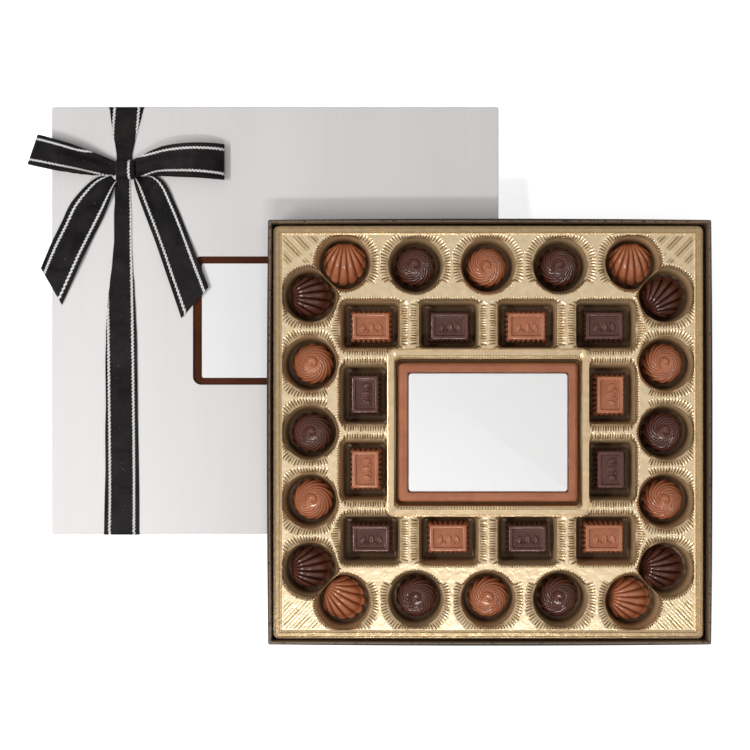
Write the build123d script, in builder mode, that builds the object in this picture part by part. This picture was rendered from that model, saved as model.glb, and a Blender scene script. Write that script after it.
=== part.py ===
from build123d import *
import math
import os

# A box of moulded chocolates laid open on a table. The silver lid lies flat on
# its rim with its ribbon tied round it, and the filled black base stands on the
# lid's lower right part. Lengths are millimetres, +Z is up, the lid's long side
# runs along X, and the origin is under the middle of everything.

# Board, film and fits
board = 1.8  # wrapped paperboard
film = 0.5  # thermoformed tray sheet
seat_gap = 0.3  # a loose piece over the face that it rests on
overrun = 1.0  # how far a cutting shape passes the face that it cuts

# Lid
lid_length = 285.0
lid_width = 272.4
lid_height = 28.6
lid_corner = 1.2
lid_edge = 0.6
window_length = 105.0
window_width = 82.0
window_corner = 5.3

# Card glued under the lid's window
card = 1.0
card_glue_width = 9.0
card_border_side = 4.2
card_border_end = 3.2
card_recess = 0.3
card_corner = 2.0

# Base
base_length = 276.5
base_width = 265.0
base_height = 28.6
base_bow = 0.8  # how far the middle of each wall bulges
base_corner = 1.2
base_shift_x = 135.9  # from the lid's middle to the base's
base_shift_y = -70.7

# Tray
tray_play_x = 2.4  # what the tray is shorter than the base inside at its corners
tray_play_y = 1.4
tray_play_left_share = 0.2
tray_play_front_share = 0.3
tray_height = 19.4
tray_corner = 3.8
tray_lip = 4.0
rim_width = 5.5
ridge_width = 1.1
ridge_rise = 1.0
ridge_inset = 0.9
ridge_gap = 1.3
band_length = 126.4
band_width = 104.7
band_thickness = 4.7
band_corner = 5.0

# Pockets in the tray
round_pocket = 34.6
pocket_draft = 2.0  # how much less a pocket is at its floor, on each side
row_margin = 1.7
row_web = 10.7
column_web = 8.4
shell_shift = 1.5
block_pocket_length = 37.4
block_pocket_width = 30.2
block_pocket_corner = 4.0
block_row_margin = 4.9
block_row_web = 11.8
block_column_margin = 1.8
block_column_web = 10.2
plaque_pocket_depth = 9.0
plaque_pocket_corner = 3.5
plaque_clearance = 1.0

# Plaque
plaque_length = 112.0
plaque_width = 86.4
plaque_height = 8.0
plaque_corner = 2.8
plaque_frame = 6.0
plaque_bevel = 1.6
plaque_recess = 1.6
inlay = 1.2
inlay_corner = 2.2

# Swirl chocolates
swirl_diameter = 26.6
swirl_height = 15.0
swirl_flute = 1.3
swirl_lobes = 11
swirl_curl_diameter = 6.0
swirl_curl_rise = 1.2

# Shell chocolates
shell_length = 23.5
shell_width = 27.0
shell_height = 11.5
shell_rib = 1.1
shell_ribs = 9
shell_hinge_width = 9.0

# Block chocolates
block_length = 27.0
block_width = 21.0
block_height = 12.5
block_taper = 3.1  # how much less the top is, on each side
block_flute = 0.8
block_long_flutes = 8
block_short_flutes = 6
block_edge = 0.7
block_border = 1.7
block_recess = 0.9
leaf_length = 6.4
leaf_width = 3.0
leaf_rise = 0.6

# Ribbon and bow
ribbon_width = 22.2
ribbon = 0.5
band_top_x = -94.1  # from the lid's middle to the ribbon where it meets an edge
band_foot_x = -97.2
ribbon_end_gap = 1.2  # between the ribbon's ends and the lid's rim
knot_x = -94.8
knot_y = 95.3
knot_length = 12.5
knot_width = 12.0
knot_height = 7.0
knot_round = 2.4
root_gap = 1.1  # from the knot's side to the middle of a bow piece's end
right_loop_length = 57.0
loop_height = 11.5
left_loop_length = 53.6
left_loop_end_share = 0.44  # of the ribbon's width, to each side of the loop's middle
loop_tip_share = 0.975  # where a loop turns back, along its outline
left_loop_angle = 167.2
right_loop_angle = 3.8
tail_length = 85.0
tail_rise = 2.4
left_tail_angle = 240.7
right_tail_angle = -66.5

# Worked out from the sizes above
loop_turn = math.radians(left_loop_angle)
loop_reach = (knot_length / 2 + root_gap + ribbon / 2
              - left_loop_length * loop_tip_share * math.cos(loop_turn)
              + ribbon_width * left_loop_end_share * math.sin(loop_turn))
lid_x = (loop_reach - knot_x - base_shift_x - base_length / 2) / 2
lid_y = (base_width / 2 - base_shift_y - lid_width / 2 - ribbon) / 2
base_x = lid_x + base_shift_x
base_y = lid_y + base_shift_y
base_bottom = lid_height + seat_gap
tray_length = base_length - board - board - base_bow - base_bow - tray_play_x
tray_width = base_width - board - board - base_bow - base_bow - tray_play_y
tray_x = base_x - tray_play_x / 2 + tray_play_x * tray_play_left_share
tray_y = base_y - tray_play_y / 2 + tray_play_y * tray_play_front_share
tray_bottom = base_bottom + board + seat_gap
sweet_bottom = tray_bottom + film + seat_gap
knot_at = (lid_x + knot_x, lid_y + knot_y)

row_y = tray_width / 2 - rim_width - row_margin - round_pocket / 2
row_pitch = round_pocket + row_web
column_x = tray_length / 2 - rim_width - round_pocket / 2
column_pitch = round_pocket + column_web
block_row_y = row_y - round_pocket / 2 - block_row_margin - block_pocket_width / 2
block_row_pitch = block_pocket_length + block_row_web
block_column_x = column_x - round_pocket / 2 - block_column_margin - block_pocket_width / 2
block_column_pitch = block_pocket_length + block_column_web
plaque_pocket_length = plaque_length + plaque_clearance + plaque_clearance
plaque_pocket_width = plaque_width + plaque_clearance + plaque_clearance
plaque_bottom = tray_bottom + tray_height - plaque_pocket_depth + seat_gap

# Which chocolate lies where, how far it has slid in its pocket as a share of
# the play, and how far it is turned, in degrees
swirl_place_shares = [
    ("dark_swirl_back_left", -row_pitch, row_y, -0.3, -0.1, 20),
    ("milk_swirl_back", 0, row_y, -0.4, -0.3, 75),
    ("dark_swirl_back_right", row_pitch, row_y, -0.2, -0.2, 50),
    ("milk_swirl_left_back", -column_x, column_pitch, 0.6, 0.1, 10),
    ("dark_swirl_left", -column_x, 0, 0.3, -0.2, 40),
    ("milk_swirl_left_front", -column_x, -column_pitch, 0.5, 0.2, 25),
    ("milk_swirl_right_back", column_x, column_pitch, -0.4, 0.2, 65),
    ("dark_swirl_right", column_x, 0, -0.5, 0.1, 5),
    ("milk_swirl_right_front", column_x, -column_pitch, -0.4, 0.1, 35),
    ("dark_swirl_front_left", -row_pitch, -row_y, 0.2, 0.3, 60),
    ("milk_swirl_front", 0, -row_y, 0.1, 0.2, 15),
    ("dark_swirl_front_right", row_pitch, -row_y, -0.3, 0.4, 30),
]
far_row_y = row_y + shell_shift
far_row_x = row_pitch + row_pitch
far_column_y = column_pitch + column_pitch
shell_place_shares = [
    ("milk_shell_back_left", -far_row_x, far_row_y, 0.0, -0.1, -92),
    ("dark_shell_left_back", -column_x, far_column_y, 0.2, 0.1, 2),
    ("milk_shell_back_right", far_row_x, far_row_y, -0.1, -0.1, -88),
    ("dark_shell_right_back", column_x, far_column_y, -0.1, 0.1, 42),
    ("dark_shell_left_front", -column_x, -far_column_y, 0.3, 0.2, 4),
    ("milk_shell_front_left", -far_row_x, -far_row_y, 0.1, 0.1, -36),
    ("milk_shell_front_right", far_row_x, -far_row_y, -0.1, 0.2, -8),
    ("dark_shell_right_front", column_x, -far_column_y, -0.3, 0.1, 0),
]
block_place_shares = [
    ("milk_block_back_left", -1.5, 1, 0.1, -0.3, False),
    ("dark_block_back_left", -0.5, 1, 0.2, -0.3, False),
    ("milk_block_back_right", 0.5, 1, -0.1, -0.3, False),
    ("dark_block_back_right", 1.5, 1, -0.2, -0.2, False),
    ("dark_block_front_left", -1.5, -1, 0.1, 0.2, False),
    ("milk_block_front_left", -0.5, -1, -0.1, 0.3, False),
    ("dark_block_front_right", 0.5, -1, 0.1, 0.2, False),
    ("milk_block_front_right", 1.5, -1, -0.2, 0.3, False),
    ("dark_block_left", -1, 0.5, 0.1, 0.0, True),
    ("milk_block_left", -1, -0.5, 0.2, 0.1, True),
    ("milk_block_right", 1, 0.5, -0.2, -0.1, True),
    ("dark_block_right", 1, -0.5, -0.1, 0.1, True),
]

# Outlines of the bow's pieces: along and across, as shares of the piece's
# length and of the ribbon's width
left_loop_shares = [
    (0.0, -0.21), (0.24, -0.29), (0.54, -0.37), (1.0, -left_loop_end_share),
    (1.0, left_loop_end_share), (0.71, 0.42), (0.41, 0.38), (0.18, 0.31), (0.0, 0.21),
]
right_loop_shares = [
    (0.0, -0.25), (0.15, -0.21), (0.47, -0.31), (0.73, -0.38), (0.98, -0.5),
    (1.0, 0.5), (0.6, 0.59), (0.28, 0.52), (0.0, 0.26),
]
left_tail_shares = [
    (0.02, -0.33), (0.13, -0.61), (0.32, -0.76), (0.83, -0.57),
    (0.99, 0.46), (0.56, 0.33), (0.26, 0.28), (0.05, 0.14),
]
right_tail_shares = [
    (0.04, -0.2), (0.12, -0.29), (0.57, -0.36), (1.06, -0.53),
    (0.94, 0.54), (0.52, 0.6), (0.11, 0.63), (0.04, 0.48),
]
# Half widths of the ribbon round the lid: along, from the back edge to the
# front, and as a share of the ribbon's width
ribbon_half_shares = [
    (0.0, 0.5), (0.128, 0.22), (0.178, 0.22), (0.336, 0.27), (0.499, 0.43), (1.0, 0.5),
]
# Side view of a loop and of a tail: along, and height as a share of the rise
loop_profile_shares = [
    (0.0, 0.46), (0.22, 0.7), (0.55, 0.97), (0.85, 0.88), (loop_tip_share, 0.52),
    (0.86, 0.16), (0.5, 0.12), (0.25, 0.22), (0.0, 0.3),
]
tail_profile_shares = [(0.0, 0.3), (0.16, 0.24), (0.4, 0.2), (0.65, 0.55), (0.85, 0.3), (1.07, 0.2)]

os.makedirs("parts", exist_ok=True)


def write(piece, name):
    """Name a finished sub-part and keep it as its own STEP file."""
    piece.part.label = name
    export_step(piece.part, f"parts/{name}.step")


def bowed_rectangle(length, width, bow):
    """A rectangle whose sides bulge by bow, so that length and width are its greatest."""
    half_length = length / 2
    half_width = width / 2
    corner_x = half_length - bow
    corner_y = half_width - bow
    with BuildLine() as edge:
        ThreePointArc((-corner_x, -corner_y), (0, -half_width), (corner_x, -corner_y))
        ThreePointArc((corner_x, -corner_y), (half_length, 0), (corner_x, corner_y))
        ThreePointArc((corner_x, corner_y), (0, half_width), (-corner_x, corner_y))
        ThreePointArc((-corner_x, corner_y), (-half_length, 0), (-corner_x, -corner_y))
    make_face(edge.edges())


def closed_outline(points):
    """The face inside straight lines through the points."""
    with BuildLine() as edge:
        Polyline(*points, close=True)
    make_face(edge.edges())


def spun(points, angle):
    """The points, turned about the origin."""
    cosine = math.cos(math.radians(angle))
    sine = math.sin(math.radians(angle))
    return [(x * cosine - y * sine, x * sine + y * cosine) for x, y in points]


# Lid: one board shell, open below, with a window cut through its top
lid_plane = Plane((lid_x, lid_y, 0))
with BuildPart() as lid_shell:
    with BuildSketch(lid_plane):
        RectangleRounded(lid_length, lid_width, lid_corner)
    extrude(amount=lid_height)
    fillet(lid_shell.faces().sort_by(Axis.Z)[-1].edges(), lid_edge)
    with BuildSketch(lid_plane):
        Rectangle(lid_length - board - board, lid_width - board - board)
    extrude(amount=lid_height - board, mode=Mode.SUBTRACT)
    with BuildSketch(lid_plane.offset(lid_height - board - overrun)):
        RectangleRounded(window_length, window_width, window_corner)
    extrude(amount=board + overrun + overrun, mode=Mode.SUBTRACT)
write(lid_shell, "lid_shell")

# Card: glued under the window, its field pressed in a little inside the border
card_plane = lid_plane.offset(lid_height - board)
with BuildPart() as lid_window_card:
    with BuildSketch(card_plane):
        Rectangle(window_length + card_glue_width + card_glue_width,
                  window_width + card_glue_width + card_glue_width)
    extrude(amount=-card)
    with BuildSketch(card_plane):
        RectangleRounded(window_length - card_border_side - card_border_side,
                         window_width - card_border_end - card_border_end, card_corner)
    extrude(amount=-card_recess, mode=Mode.SUBTRACT)
write(lid_window_card, "lid_window_card")

# Base: an open board box whose walls bulge a little
base_plane = Plane((base_x, base_y, base_bottom))
with BuildPart() as base_box:
    with BuildSketch(base_plane) as outline:
        bowed_rectangle(base_length, base_width, base_bow)
        fillet(outline.vertices(), base_corner)
    extrude(amount=base_height)
    with BuildSketch(base_plane.offset(board)):
        bowed_rectangle(base_length - board - board, base_width - board - board, base_bow)
    extrude(amount=base_height, mode=Mode.SUBTRACT)
write(base_box, "base_box")

# Places of the pockets, from the tray's middle
round_places = [(x, y) for _, x, y, *_ in swirl_place_shares + shell_place_shares]
flat_block_places = []
upright_block_places = []
for _, across, along, _, _, upright in block_place_shares:
    if upright:
        upright_block_places.append((across * block_column_x, along * block_column_pitch))
    else:
        flat_block_places.append((across * block_row_pitch, along * block_row_y))


def rounded_rings(length, width, corner, thickness):
    """A rounded frame of the given thickness inside length and width."""
    RectangleRounded(length, width, corner)
    RectangleRounded(length - thickness - thickness, width - thickness - thickness,
                     max(corner - thickness, film), mode=Mode.SUBTRACT)


def block_pockets(grow):
    """The outlines of the block pockets at the tray's top, grown by a wall."""
    length = block_pocket_length + grow + grow
    width = block_pocket_width + grow + grow
    with Locations(*flat_block_places):
        RectangleRounded(length, width, block_pocket_corner + grow)
    with Locations(*upright_block_places):
        RectangleRounded(width, length, block_pocket_corner + grow)


# Tray: one formed sheet with a cup for each chocolate and one for the plaque
pocket_angle = math.degrees(math.atan2(pocket_draft, tray_height))
tray_plane = Plane((tray_x, tray_y, tray_bottom))
with BuildPart(tray_plane) as gold_tray:
    with BuildSketch(tray_plane.offset(tray_height - film)):
        RectangleRounded(tray_length, tray_width, tray_corner)
    extrude(amount=film)
    with BuildSketch(tray_plane.offset(tray_height)):
        rounded_rings(tray_length, tray_width, tray_corner, film)
    extrude(amount=-tray_lip)
    ridge_length = tray_length - ridge_inset - ridge_inset
    ridge_across = tray_width - ridge_inset - ridge_inset
    ridge_step = ridge_width + ridge_gap
    with BuildSketch(tray_plane.offset(tray_height)):
        rounded_rings(ridge_length, ridge_across, tray_corner - ridge_inset, ridge_width)
        rounded_rings(ridge_length - ridge_step - ridge_step, ridge_across - ridge_step - ridge_step,
                      film + ridge_inset, ridge_width)
        rounded_rings(band_length, band_width, band_corner, band_thickness)
    extrude(amount=ridge_rise)
    with Locations(*[(x, y, 0) for x, y in round_places]):
        Cone(round_pocket / 2 - pocket_draft + film, round_pocket / 2 + film, tray_height,
             align=(Align.CENTER, Align.CENTER, Align.MIN))
    with BuildSketch(tray_plane.offset(tray_height)):
        block_pockets(film)
    extrude(amount=-tray_height, taper=pocket_angle)
    with BuildSketch(tray_plane.offset(tray_height)):
        RectangleRounded(plaque_pocket_length + film + film, plaque_pocket_width + film + film,
                         plaque_pocket_corner + film)
    extrude(amount=-plaque_pocket_depth - film)
    with Locations(*[(x, y, film) for x, y in round_places]):
        Cone(round_pocket / 2 - pocket_draft, round_pocket / 2, tray_height - film,
             align=(Align.CENTER, Align.CENTER, Align.MIN), mode=Mode.SUBTRACT)
    with Locations(*[(x, y, tray_height - film) for x, y in round_places]):
        Cylinder(round_pocket / 2, film + overrun,
                 align=(Align.CENTER, Align.CENTER, Align.MIN), mode=Mode.SUBTRACT)
    with BuildSketch(tray_plane.offset(tray_height)):
        block_pockets(0)
    extrude(amount=film - tray_height, taper=pocket_angle, mode=Mode.SUBTRACT)
    with BuildSketch(tray_plane.offset(tray_height)):
        block_pockets(0)
    extrude(amount=overrun, mode=Mode.SUBTRACT)
    with BuildSketch(tray_plane.offset(tray_height + overrun)):
        RectangleRounded(plaque_pocket_length, plaque_pocket_width, plaque_pocket_corner)
    extrude(amount=-plaque_pocket_depth - overrun, mode=Mode.SUBTRACT)
write(gold_tray, "gold_tray")

# Plaque: a slab with a bevelled frame round a sunk field
field_length = plaque_length - plaque_frame - plaque_frame
field_width = plaque_width - plaque_frame - plaque_frame
plaque_plane = Plane((tray_x, tray_y, plaque_bottom))
with BuildPart() as plaque:
    with BuildSketch(plaque_plane):
        RectangleRounded(plaque_length, plaque_width, plaque_corner)
    extrude(amount=plaque_height)
    chamfer(plaque.faces().sort_by(Axis.Z)[-1].edges(), plaque_bevel)
    with BuildSketch(plaque_plane.offset(plaque_height)):
        RectangleRounded(field_length, field_width, inlay_corner)
    extrude(amount=-plaque_recess, mode=Mode.SUBTRACT)
    rim_edges = plaque.faces().sort_by(Axis.Z)[-1].inner_wires()[0].edges()
    chamfer(rim_edges, plaque_recess - inlay)
write(plaque, "plaque")

# Inlay: the white slab that fills the plaque's field
with BuildPart() as plaque_inlay:
    with BuildSketch(plaque_plane.offset(plaque_height - plaque_recess)):
        RectangleRounded(field_length, field_width, inlay_corner)
    extrude(amount=inlay)
write(plaque_inlay, "plaque_inlay")


def fluted_ring(radius, flute, lobes, turn):
    """Points round a circle with as many flutes as lobes, turned by turn degrees."""
    steps = lobes * 2
    points = []
    for step in range(steps):
        angle = 2 * math.pi * step / steps
        reach = radius - flute * (1 - math.cos(lobes * angle)) / 2
        points.append((reach * math.cos(angle), reach * math.sin(angle)))
    return spun(points, turn)


# Swirls: shares of the height, of the radius and of the flutes' depth, and how
# many degrees each level is turned on from the foot
swirl_level_shares = [
    (0.0, 1.0, 1.0, 0), (0.4, 0.93, 1.0, 28), (0.78, 0.74, 0.8, 60), (0.96, 0.46, 0.6, 100),
    (1.0, 0.24, 0.3, 140),
]
play = round_pocket / 2 - pocket_draft - swirl_diameter / 2
for name, x, y, slide_x, slide_y, turn in swirl_place_shares:
    at = Plane((tray_x + x + play * slide_x, tray_y + y + play * slide_y, sweet_bottom))
    foot = at.rotated((0, 0, turn))
    body_height = swirl_height - swirl_curl_rise
    with BuildPart() as swirl:
        for height, reach, depth, twist in swirl_level_shares:
            with BuildSketch(foot.offset(body_height * height)):
                closed_outline(fluted_ring(swirl_diameter / 2 * reach, swirl_flute * depth,
                                           swirl_lobes, twist))
        loft(ruled=True)
        with BuildSketch(foot.offset(body_height)):
            Circle(swirl_curl_diameter / 2 * swirl_level_shares[-2][1])
        extrude(amount=swirl_curl_rise)
    write(swirl, name)


# Shells: shares of the height and of the reach about the shell's highest point
shell_level_shares = [
    (0.0, 1.0), (0.36, 0.95), (0.72, 0.77), (0.94, 0.46), (1.0, 0.2),
]
shell_peak_share = 0.3  # from the hinge, of the shell's length
shell_fan = 75  # degrees to each side of the shell's middle line


def shell_outline(reach):
    """A scallop's edge, hinge on the left, shrunk about its highest point."""
    radius = shell_width / 2
    middle = shell_length - radius
    peak = shell_length * shell_peak_share
    steps = shell_ribs * 2
    edge = [(0, -shell_hinge_width / 2)]
    for step in range(steps + 1):
        angle = math.radians(shell_fan * (2 * step / steps - 1))
        groove = shell_rib * (step % 2)
        across = middle * math.sin(angle)
        out = middle * math.cos(angle) + math.sqrt(radius * radius - across * across) - groove
        edge.append((out * math.cos(angle), out * math.sin(angle)))
    edge.append((0, shell_hinge_width / 2))
    return [(peak + (x - peak) * reach - shell_length / 2, y * reach) for x, y in edge]


play = round_pocket / 2 - pocket_draft - shell_width / 2
for name, x, y, slide_x, slide_y, turn in shell_place_shares:
    at = Plane((tray_x + x + play * slide_x, tray_y + y + play * slide_y, sweet_bottom))
    foot = at.rotated((0, 0, turn))
    with BuildPart() as shell:
        for height, reach in shell_level_shares:
            with BuildSketch(foot.offset(shell_height * height)):
                closed_outline(shell_outline(reach))
        loft(ruled=True)
    write(shell, name)


def fluted_side(start, end, flutes, depth):
    """Points from start almost to end, fluted to the left of the way along it."""
    run_x = end[0] - start[0]
    run_y = end[1] - start[1]
    length = math.hypot(run_x, run_y)
    steps = flutes * 2
    points = []
    for step in range(steps):
        groove = depth * (step % 2)
        points.append((start[0] + run_x * step / steps - run_y / length * groove,
                       start[1] + run_y * step / steps + run_x / length * groove))
    return points


def fluted_rectangle(length, width, depth):
    """A rectangle with the block's count of flutes along each side."""
    corners = [(-length / 2, -width / 2), (length / 2, -width / 2),
               (length / 2, width / 2), (-length / 2, width / 2)]
    counts = [block_long_flutes, block_short_flutes, block_long_flutes, block_short_flutes]
    points = []
    for side, flutes in enumerate(counts):
        points += fluted_side(corners[side], corners[(side + 1) % 4], flutes, depth)
    return points


# Leaves pressed on each block: places as shares of the panel, and turns
leaf_place_shares = [(-0.28, -0.08, 62), (0.02, 0.1, 90), (0.29, -0.08, 118)]
block_play_x = block_pocket_length / 2 - pocket_draft - block_length / 2
block_play_y = block_pocket_width / 2 - pocket_draft - block_width / 2
top_length = block_length - block_taper - block_taper
top_width = block_width - block_taper - block_taper
panel_length = top_length - block_border - block_border
panel_width = top_width - block_border - block_border
for name, across, along, slide_x, slide_y, upright in block_place_shares:
    if upright:
        x = tray_x + across * block_column_x + block_play_y * slide_x
        y = tray_y + along * block_column_pitch + block_play_x * slide_y
    else:
        x = tray_x + across * block_row_pitch + block_play_x * slide_x
        y = tray_y + along * block_row_y + block_play_y * slide_y
    at = Plane((x, y, sweet_bottom))
    foot = at.rotated((0, 0, 90 if upright else 0))
    with BuildPart() as block:
        with BuildSketch(foot):
            closed_outline(fluted_rectangle(block_length, block_width, block_flute))
        with BuildSketch(foot.offset(block_height - block_edge)):
            closed_outline(fluted_rectangle(top_length, top_width, block_flute * block_edge))
        loft(ruled=True)
        with BuildSketch(foot.offset(block_height - block_edge)):
            Rectangle(top_length, top_width)
        extrude(amount=block_edge)
        with BuildSketch(foot.offset(block_height)):
            Rectangle(panel_length, panel_width)
        extrude(amount=-block_recess, mode=Mode.SUBTRACT)
        with BuildSketch(foot.offset(block_height - block_recess)):
            for leaf_x, leaf_y, leaf_turn in leaf_place_shares:
                with Locations(Location((panel_length * leaf_x, panel_width * leaf_y, 0),
                                        (0, 0, leaf_turn))):
                    Ellipse(leaf_length / 2, leaf_width / 2)
        extrude(amount=leaf_rise)
    write(block, name)

# Ribbon round the lid: a strip over the top and down to near the rim on both sides
band_plane = lid_plane.offset(lid_height)
with BuildPart() as ribbon_band:
    left_edge = []
    right_edge = []
    for along, half in ribbon_half_shares:
        middle = band_top_x + (band_foot_x - band_top_x) * along
        left_edge.append((middle - ribbon_width * half, lid_width / 2 - lid_width * along))
        right_edge.append((middle + ribbon_width * half, lid_width / 2 - lid_width * along))
    with BuildSketch(band_plane):
        closed_outline(left_edge + right_edge[::-1])
    extrude(amount=ribbon)
    strap_out = lid_width / 2 + ribbon / 2
    for middle, out in ((band_top_x, strap_out), (band_foot_x, -strap_out)):
        with BuildSketch(band_plane.offset(ribbon)):
            with Locations((middle, out)):
                Rectangle(ribbon_width, ribbon)
        extrude(amount=ribbon_end_gap - lid_height - ribbon)
write(ribbon_band, "ribbon_band")

# Knot: the wrap that holds the bow, on top of the band
knot_plane = Plane((knot_at[0], knot_at[1], lid_height + ribbon))
with BuildPart() as bow_knot:
    with BuildSketch(knot_plane):
        Rectangle(knot_length, knot_width)
    extrude(amount=knot_height)
    fillet(bow_knot.faces().sort_by(Axis.Z)[-1].edges() + bow_knot.edges().filter_by(Axis.Z), knot_round)
write(bow_knot, "bow_knot")


def ribbon_piece(name, angle, root, length, outline_shares, profile_shares, rise, bottom):
    """A strip of ribbon with a bent side view, trimmed to its outline from above."""
    base = Plane((knot_at[0] + root[0], knot_at[1] + root[1], bottom)).rotated((0, 0, angle))
    side = Plane(base.origin, x_dir=base.x_dir, z_dir=-base.y_dir)
    with BuildPart() as piece:
        with BuildSketch(side):
            with BuildLine():
                route = Spline(*[(length * along, rise * up) for along, up in profile_shares])
            trace(line_width=ribbon)
        extrude(amount=ribbon_width, both=True)
        with BuildSketch(base.offset(-overrun)):
            closed_outline([(length * along, ribbon_width * across) for along, across in outline_shares])
        extrude(amount=rise + overrun + overrun + overrun, mode=Mode.INTERSECT)
    write(piece, name)


loop_bottom = lid_height + ribbon
root_x = knot_length / 2 + root_gap
ribbon_piece("bow_loop_left", left_loop_angle, (-root_x, 0), left_loop_length,
             left_loop_shares, loop_profile_shares, loop_height, loop_bottom)
ribbon_piece("bow_loop_right", right_loop_angle, (root_x, 0), right_loop_length,
             right_loop_shares, loop_profile_shares, loop_height, loop_bottom)
ribbon_piece("bow_tail_left", left_tail_angle, (-root_x, -knot_width / 2), tail_length,
             left_tail_shares, tail_profile_shares, tail_rise, loop_bottom)
ribbon_piece("bow_tail_right", right_tail_angle, (root_x, -knot_width / 2), tail_length,
             right_tail_shares, tail_profile_shares, tail_rise, loop_bottom)
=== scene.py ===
import math
import random
import bmesh
import bpy
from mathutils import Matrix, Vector
from mathutils.geometry import delaunay_2d_cdt


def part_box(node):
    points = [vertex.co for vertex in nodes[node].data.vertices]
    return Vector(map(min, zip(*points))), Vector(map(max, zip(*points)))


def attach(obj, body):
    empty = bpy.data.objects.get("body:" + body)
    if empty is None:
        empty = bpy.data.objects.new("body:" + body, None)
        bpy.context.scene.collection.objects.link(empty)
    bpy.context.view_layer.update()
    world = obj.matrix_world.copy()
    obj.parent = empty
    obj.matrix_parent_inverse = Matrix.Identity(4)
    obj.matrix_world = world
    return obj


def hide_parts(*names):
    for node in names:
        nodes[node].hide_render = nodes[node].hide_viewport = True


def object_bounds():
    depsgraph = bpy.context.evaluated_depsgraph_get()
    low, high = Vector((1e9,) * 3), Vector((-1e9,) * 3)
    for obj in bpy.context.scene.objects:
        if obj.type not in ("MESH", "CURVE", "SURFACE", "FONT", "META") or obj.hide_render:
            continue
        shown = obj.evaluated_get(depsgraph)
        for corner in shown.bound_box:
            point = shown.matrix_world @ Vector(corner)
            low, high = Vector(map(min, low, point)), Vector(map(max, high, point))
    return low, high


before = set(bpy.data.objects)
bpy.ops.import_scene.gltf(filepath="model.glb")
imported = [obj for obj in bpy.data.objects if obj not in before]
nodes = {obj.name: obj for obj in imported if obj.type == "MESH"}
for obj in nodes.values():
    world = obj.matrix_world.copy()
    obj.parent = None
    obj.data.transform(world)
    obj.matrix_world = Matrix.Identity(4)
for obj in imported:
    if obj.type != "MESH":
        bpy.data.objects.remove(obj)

cad_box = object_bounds()
mm = 0.001

# The photograph's camera: it looks straight down on the open box, a metre
# above its rim, over a point a little left of the box's middle.
lid_low, lid_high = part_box("lid_shell")
lid_x = (lid_low[0] + lid_high[0]) / 2
lid_y = (lid_low[1] + lid_high[1]) / 2
camera_data = bpy.data.cameras.new("camera")
camera_data.lens = 77.4
camera_data.sensor_width = 36
camera_data.shift_x = -0.08
camera_data.shift_y = 0.0333
camera_data.clip_start = 0.01
camera = bpy.data.objects.new("camera", camera_data)
bpy.context.collection.objects.link(camera)
camera.location = (lid_x + 0.1020, lid_y - 0.0507, lid_high[2] + 1.0289)
bpy.context.scene.camera = camera

# The table: one wide matt sheet of studio paper, white to the camera and pale
# in the light, with a soft shadow of the box on it.
bpy.ops.object.select_all(action="DESELECT")
bpy.ops.mesh.primitive_plane_add(size=6, location=(0, 0, cad_box[0][2]))
table = bpy.context.object
table.name = "table"
bpy.ops.object.transform_apply(location=True)
paper = bpy.data.materials.new("table_paper")
paper.use_nodes = True
paper_shader = paper.node_tree.nodes["Principled BSDF"]
paper_shader.inputs["Base Color"].default_value = (0.9, 0.9, 0.9, 1)
paper_shader.inputs["Roughness"].default_value = 0.9
paper_shader.inputs["Emission Color"].default_value = (1, 1, 1, 1)
paper_ray = paper.node_tree.nodes.new("ShaderNodeLightPath")
paper_glow = paper.node_tree.nodes.new("ShaderNodeMath")
paper_glow.operation = "MULTIPLY"
paper_glow.inputs[1].default_value = 0.7
paper.node_tree.links.new(paper_ray.outputs["Is Camera Ray"], paper_glow.inputs[0])
paper.node_tree.links.new(paper_glow.outputs[0], paper_shader.inputs["Emission Strength"])
table.data.materials.append(paper)

# Studio light: a long strip box at the left and a shorter one in front, a weak
# square one at the right, and an even white room.
world = bpy.data.worlds.new("studio")
world.use_nodes = True
bpy.context.scene.world = world
sky = world.node_tree
sky.nodes["Background"].inputs["Strength"].default_value = 0.22
white_sky = sky.nodes.new("ShaderNodeBackground")
white_sky.inputs["Color"].default_value = (1, 1, 1, 1)
sky.nodes["Background"].inputs["Color"].default_value = (1, 1, 1, 1)
ray = sky.nodes.new("ShaderNodeLightPath")
seen = sky.nodes.new("ShaderNodeMath")
seen.operation = "MAXIMUM"
seen_too = sky.nodes.new("ShaderNodeMath")
seen_too.operation = "MAXIMUM"
sky_mix = sky.nodes.new("ShaderNodeMixShader")
sky.links.new(ray.outputs["Is Camera Ray"], seen.inputs[0])
sky.links.new(ray.outputs["Is Glossy Ray"], seen.inputs[1])
sky.links.new(seen.outputs[0], seen_too.inputs[0])
sky.links.new(ray.outputs["Is Transmission Ray"], seen_too.inputs[1])
sky.links.new(seen_too.outputs[0], sky_mix.inputs[0])
sky.links.new(sky.nodes["Background"].outputs[0], sky_mix.inputs[1])
sky.links.new(white_sky.outputs[0], sky_mix.inputs[2])
sky.links.new(sky_mix.outputs[0], sky.nodes["World Output"].inputs["Surface"])

for lamp_name, place, long_side, short_side, power in (
        ("key_light", (-0.68, -0.12, 1.05), 0.7, 0.11, 7.2),
        ("front_light", (0.02, -0.55, 1.15), 0.45, 0.09, 4.4),
        ("fill_light", (1.1, -0.1, 1.2), 0.5, 0.5, 1.0)):
    lamp_data = bpy.data.lights.new(lamp_name, "AREA")
    lamp_data.shape = "RECTANGLE"
    lamp_data.size = long_side
    lamp_data.size_y = short_side
    lamp_data.energy = power
    lamp = bpy.data.objects.new(lamp_name, lamp_data)
    bpy.context.collection.objects.link(lamp)
    lamp.location = place
    lamp.rotation_euler = (-Vector(place)).to_track_quat("-Z", "Y").to_euler()
bpy.context.scene.view_settings.view_transform = "Standard"

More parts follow.
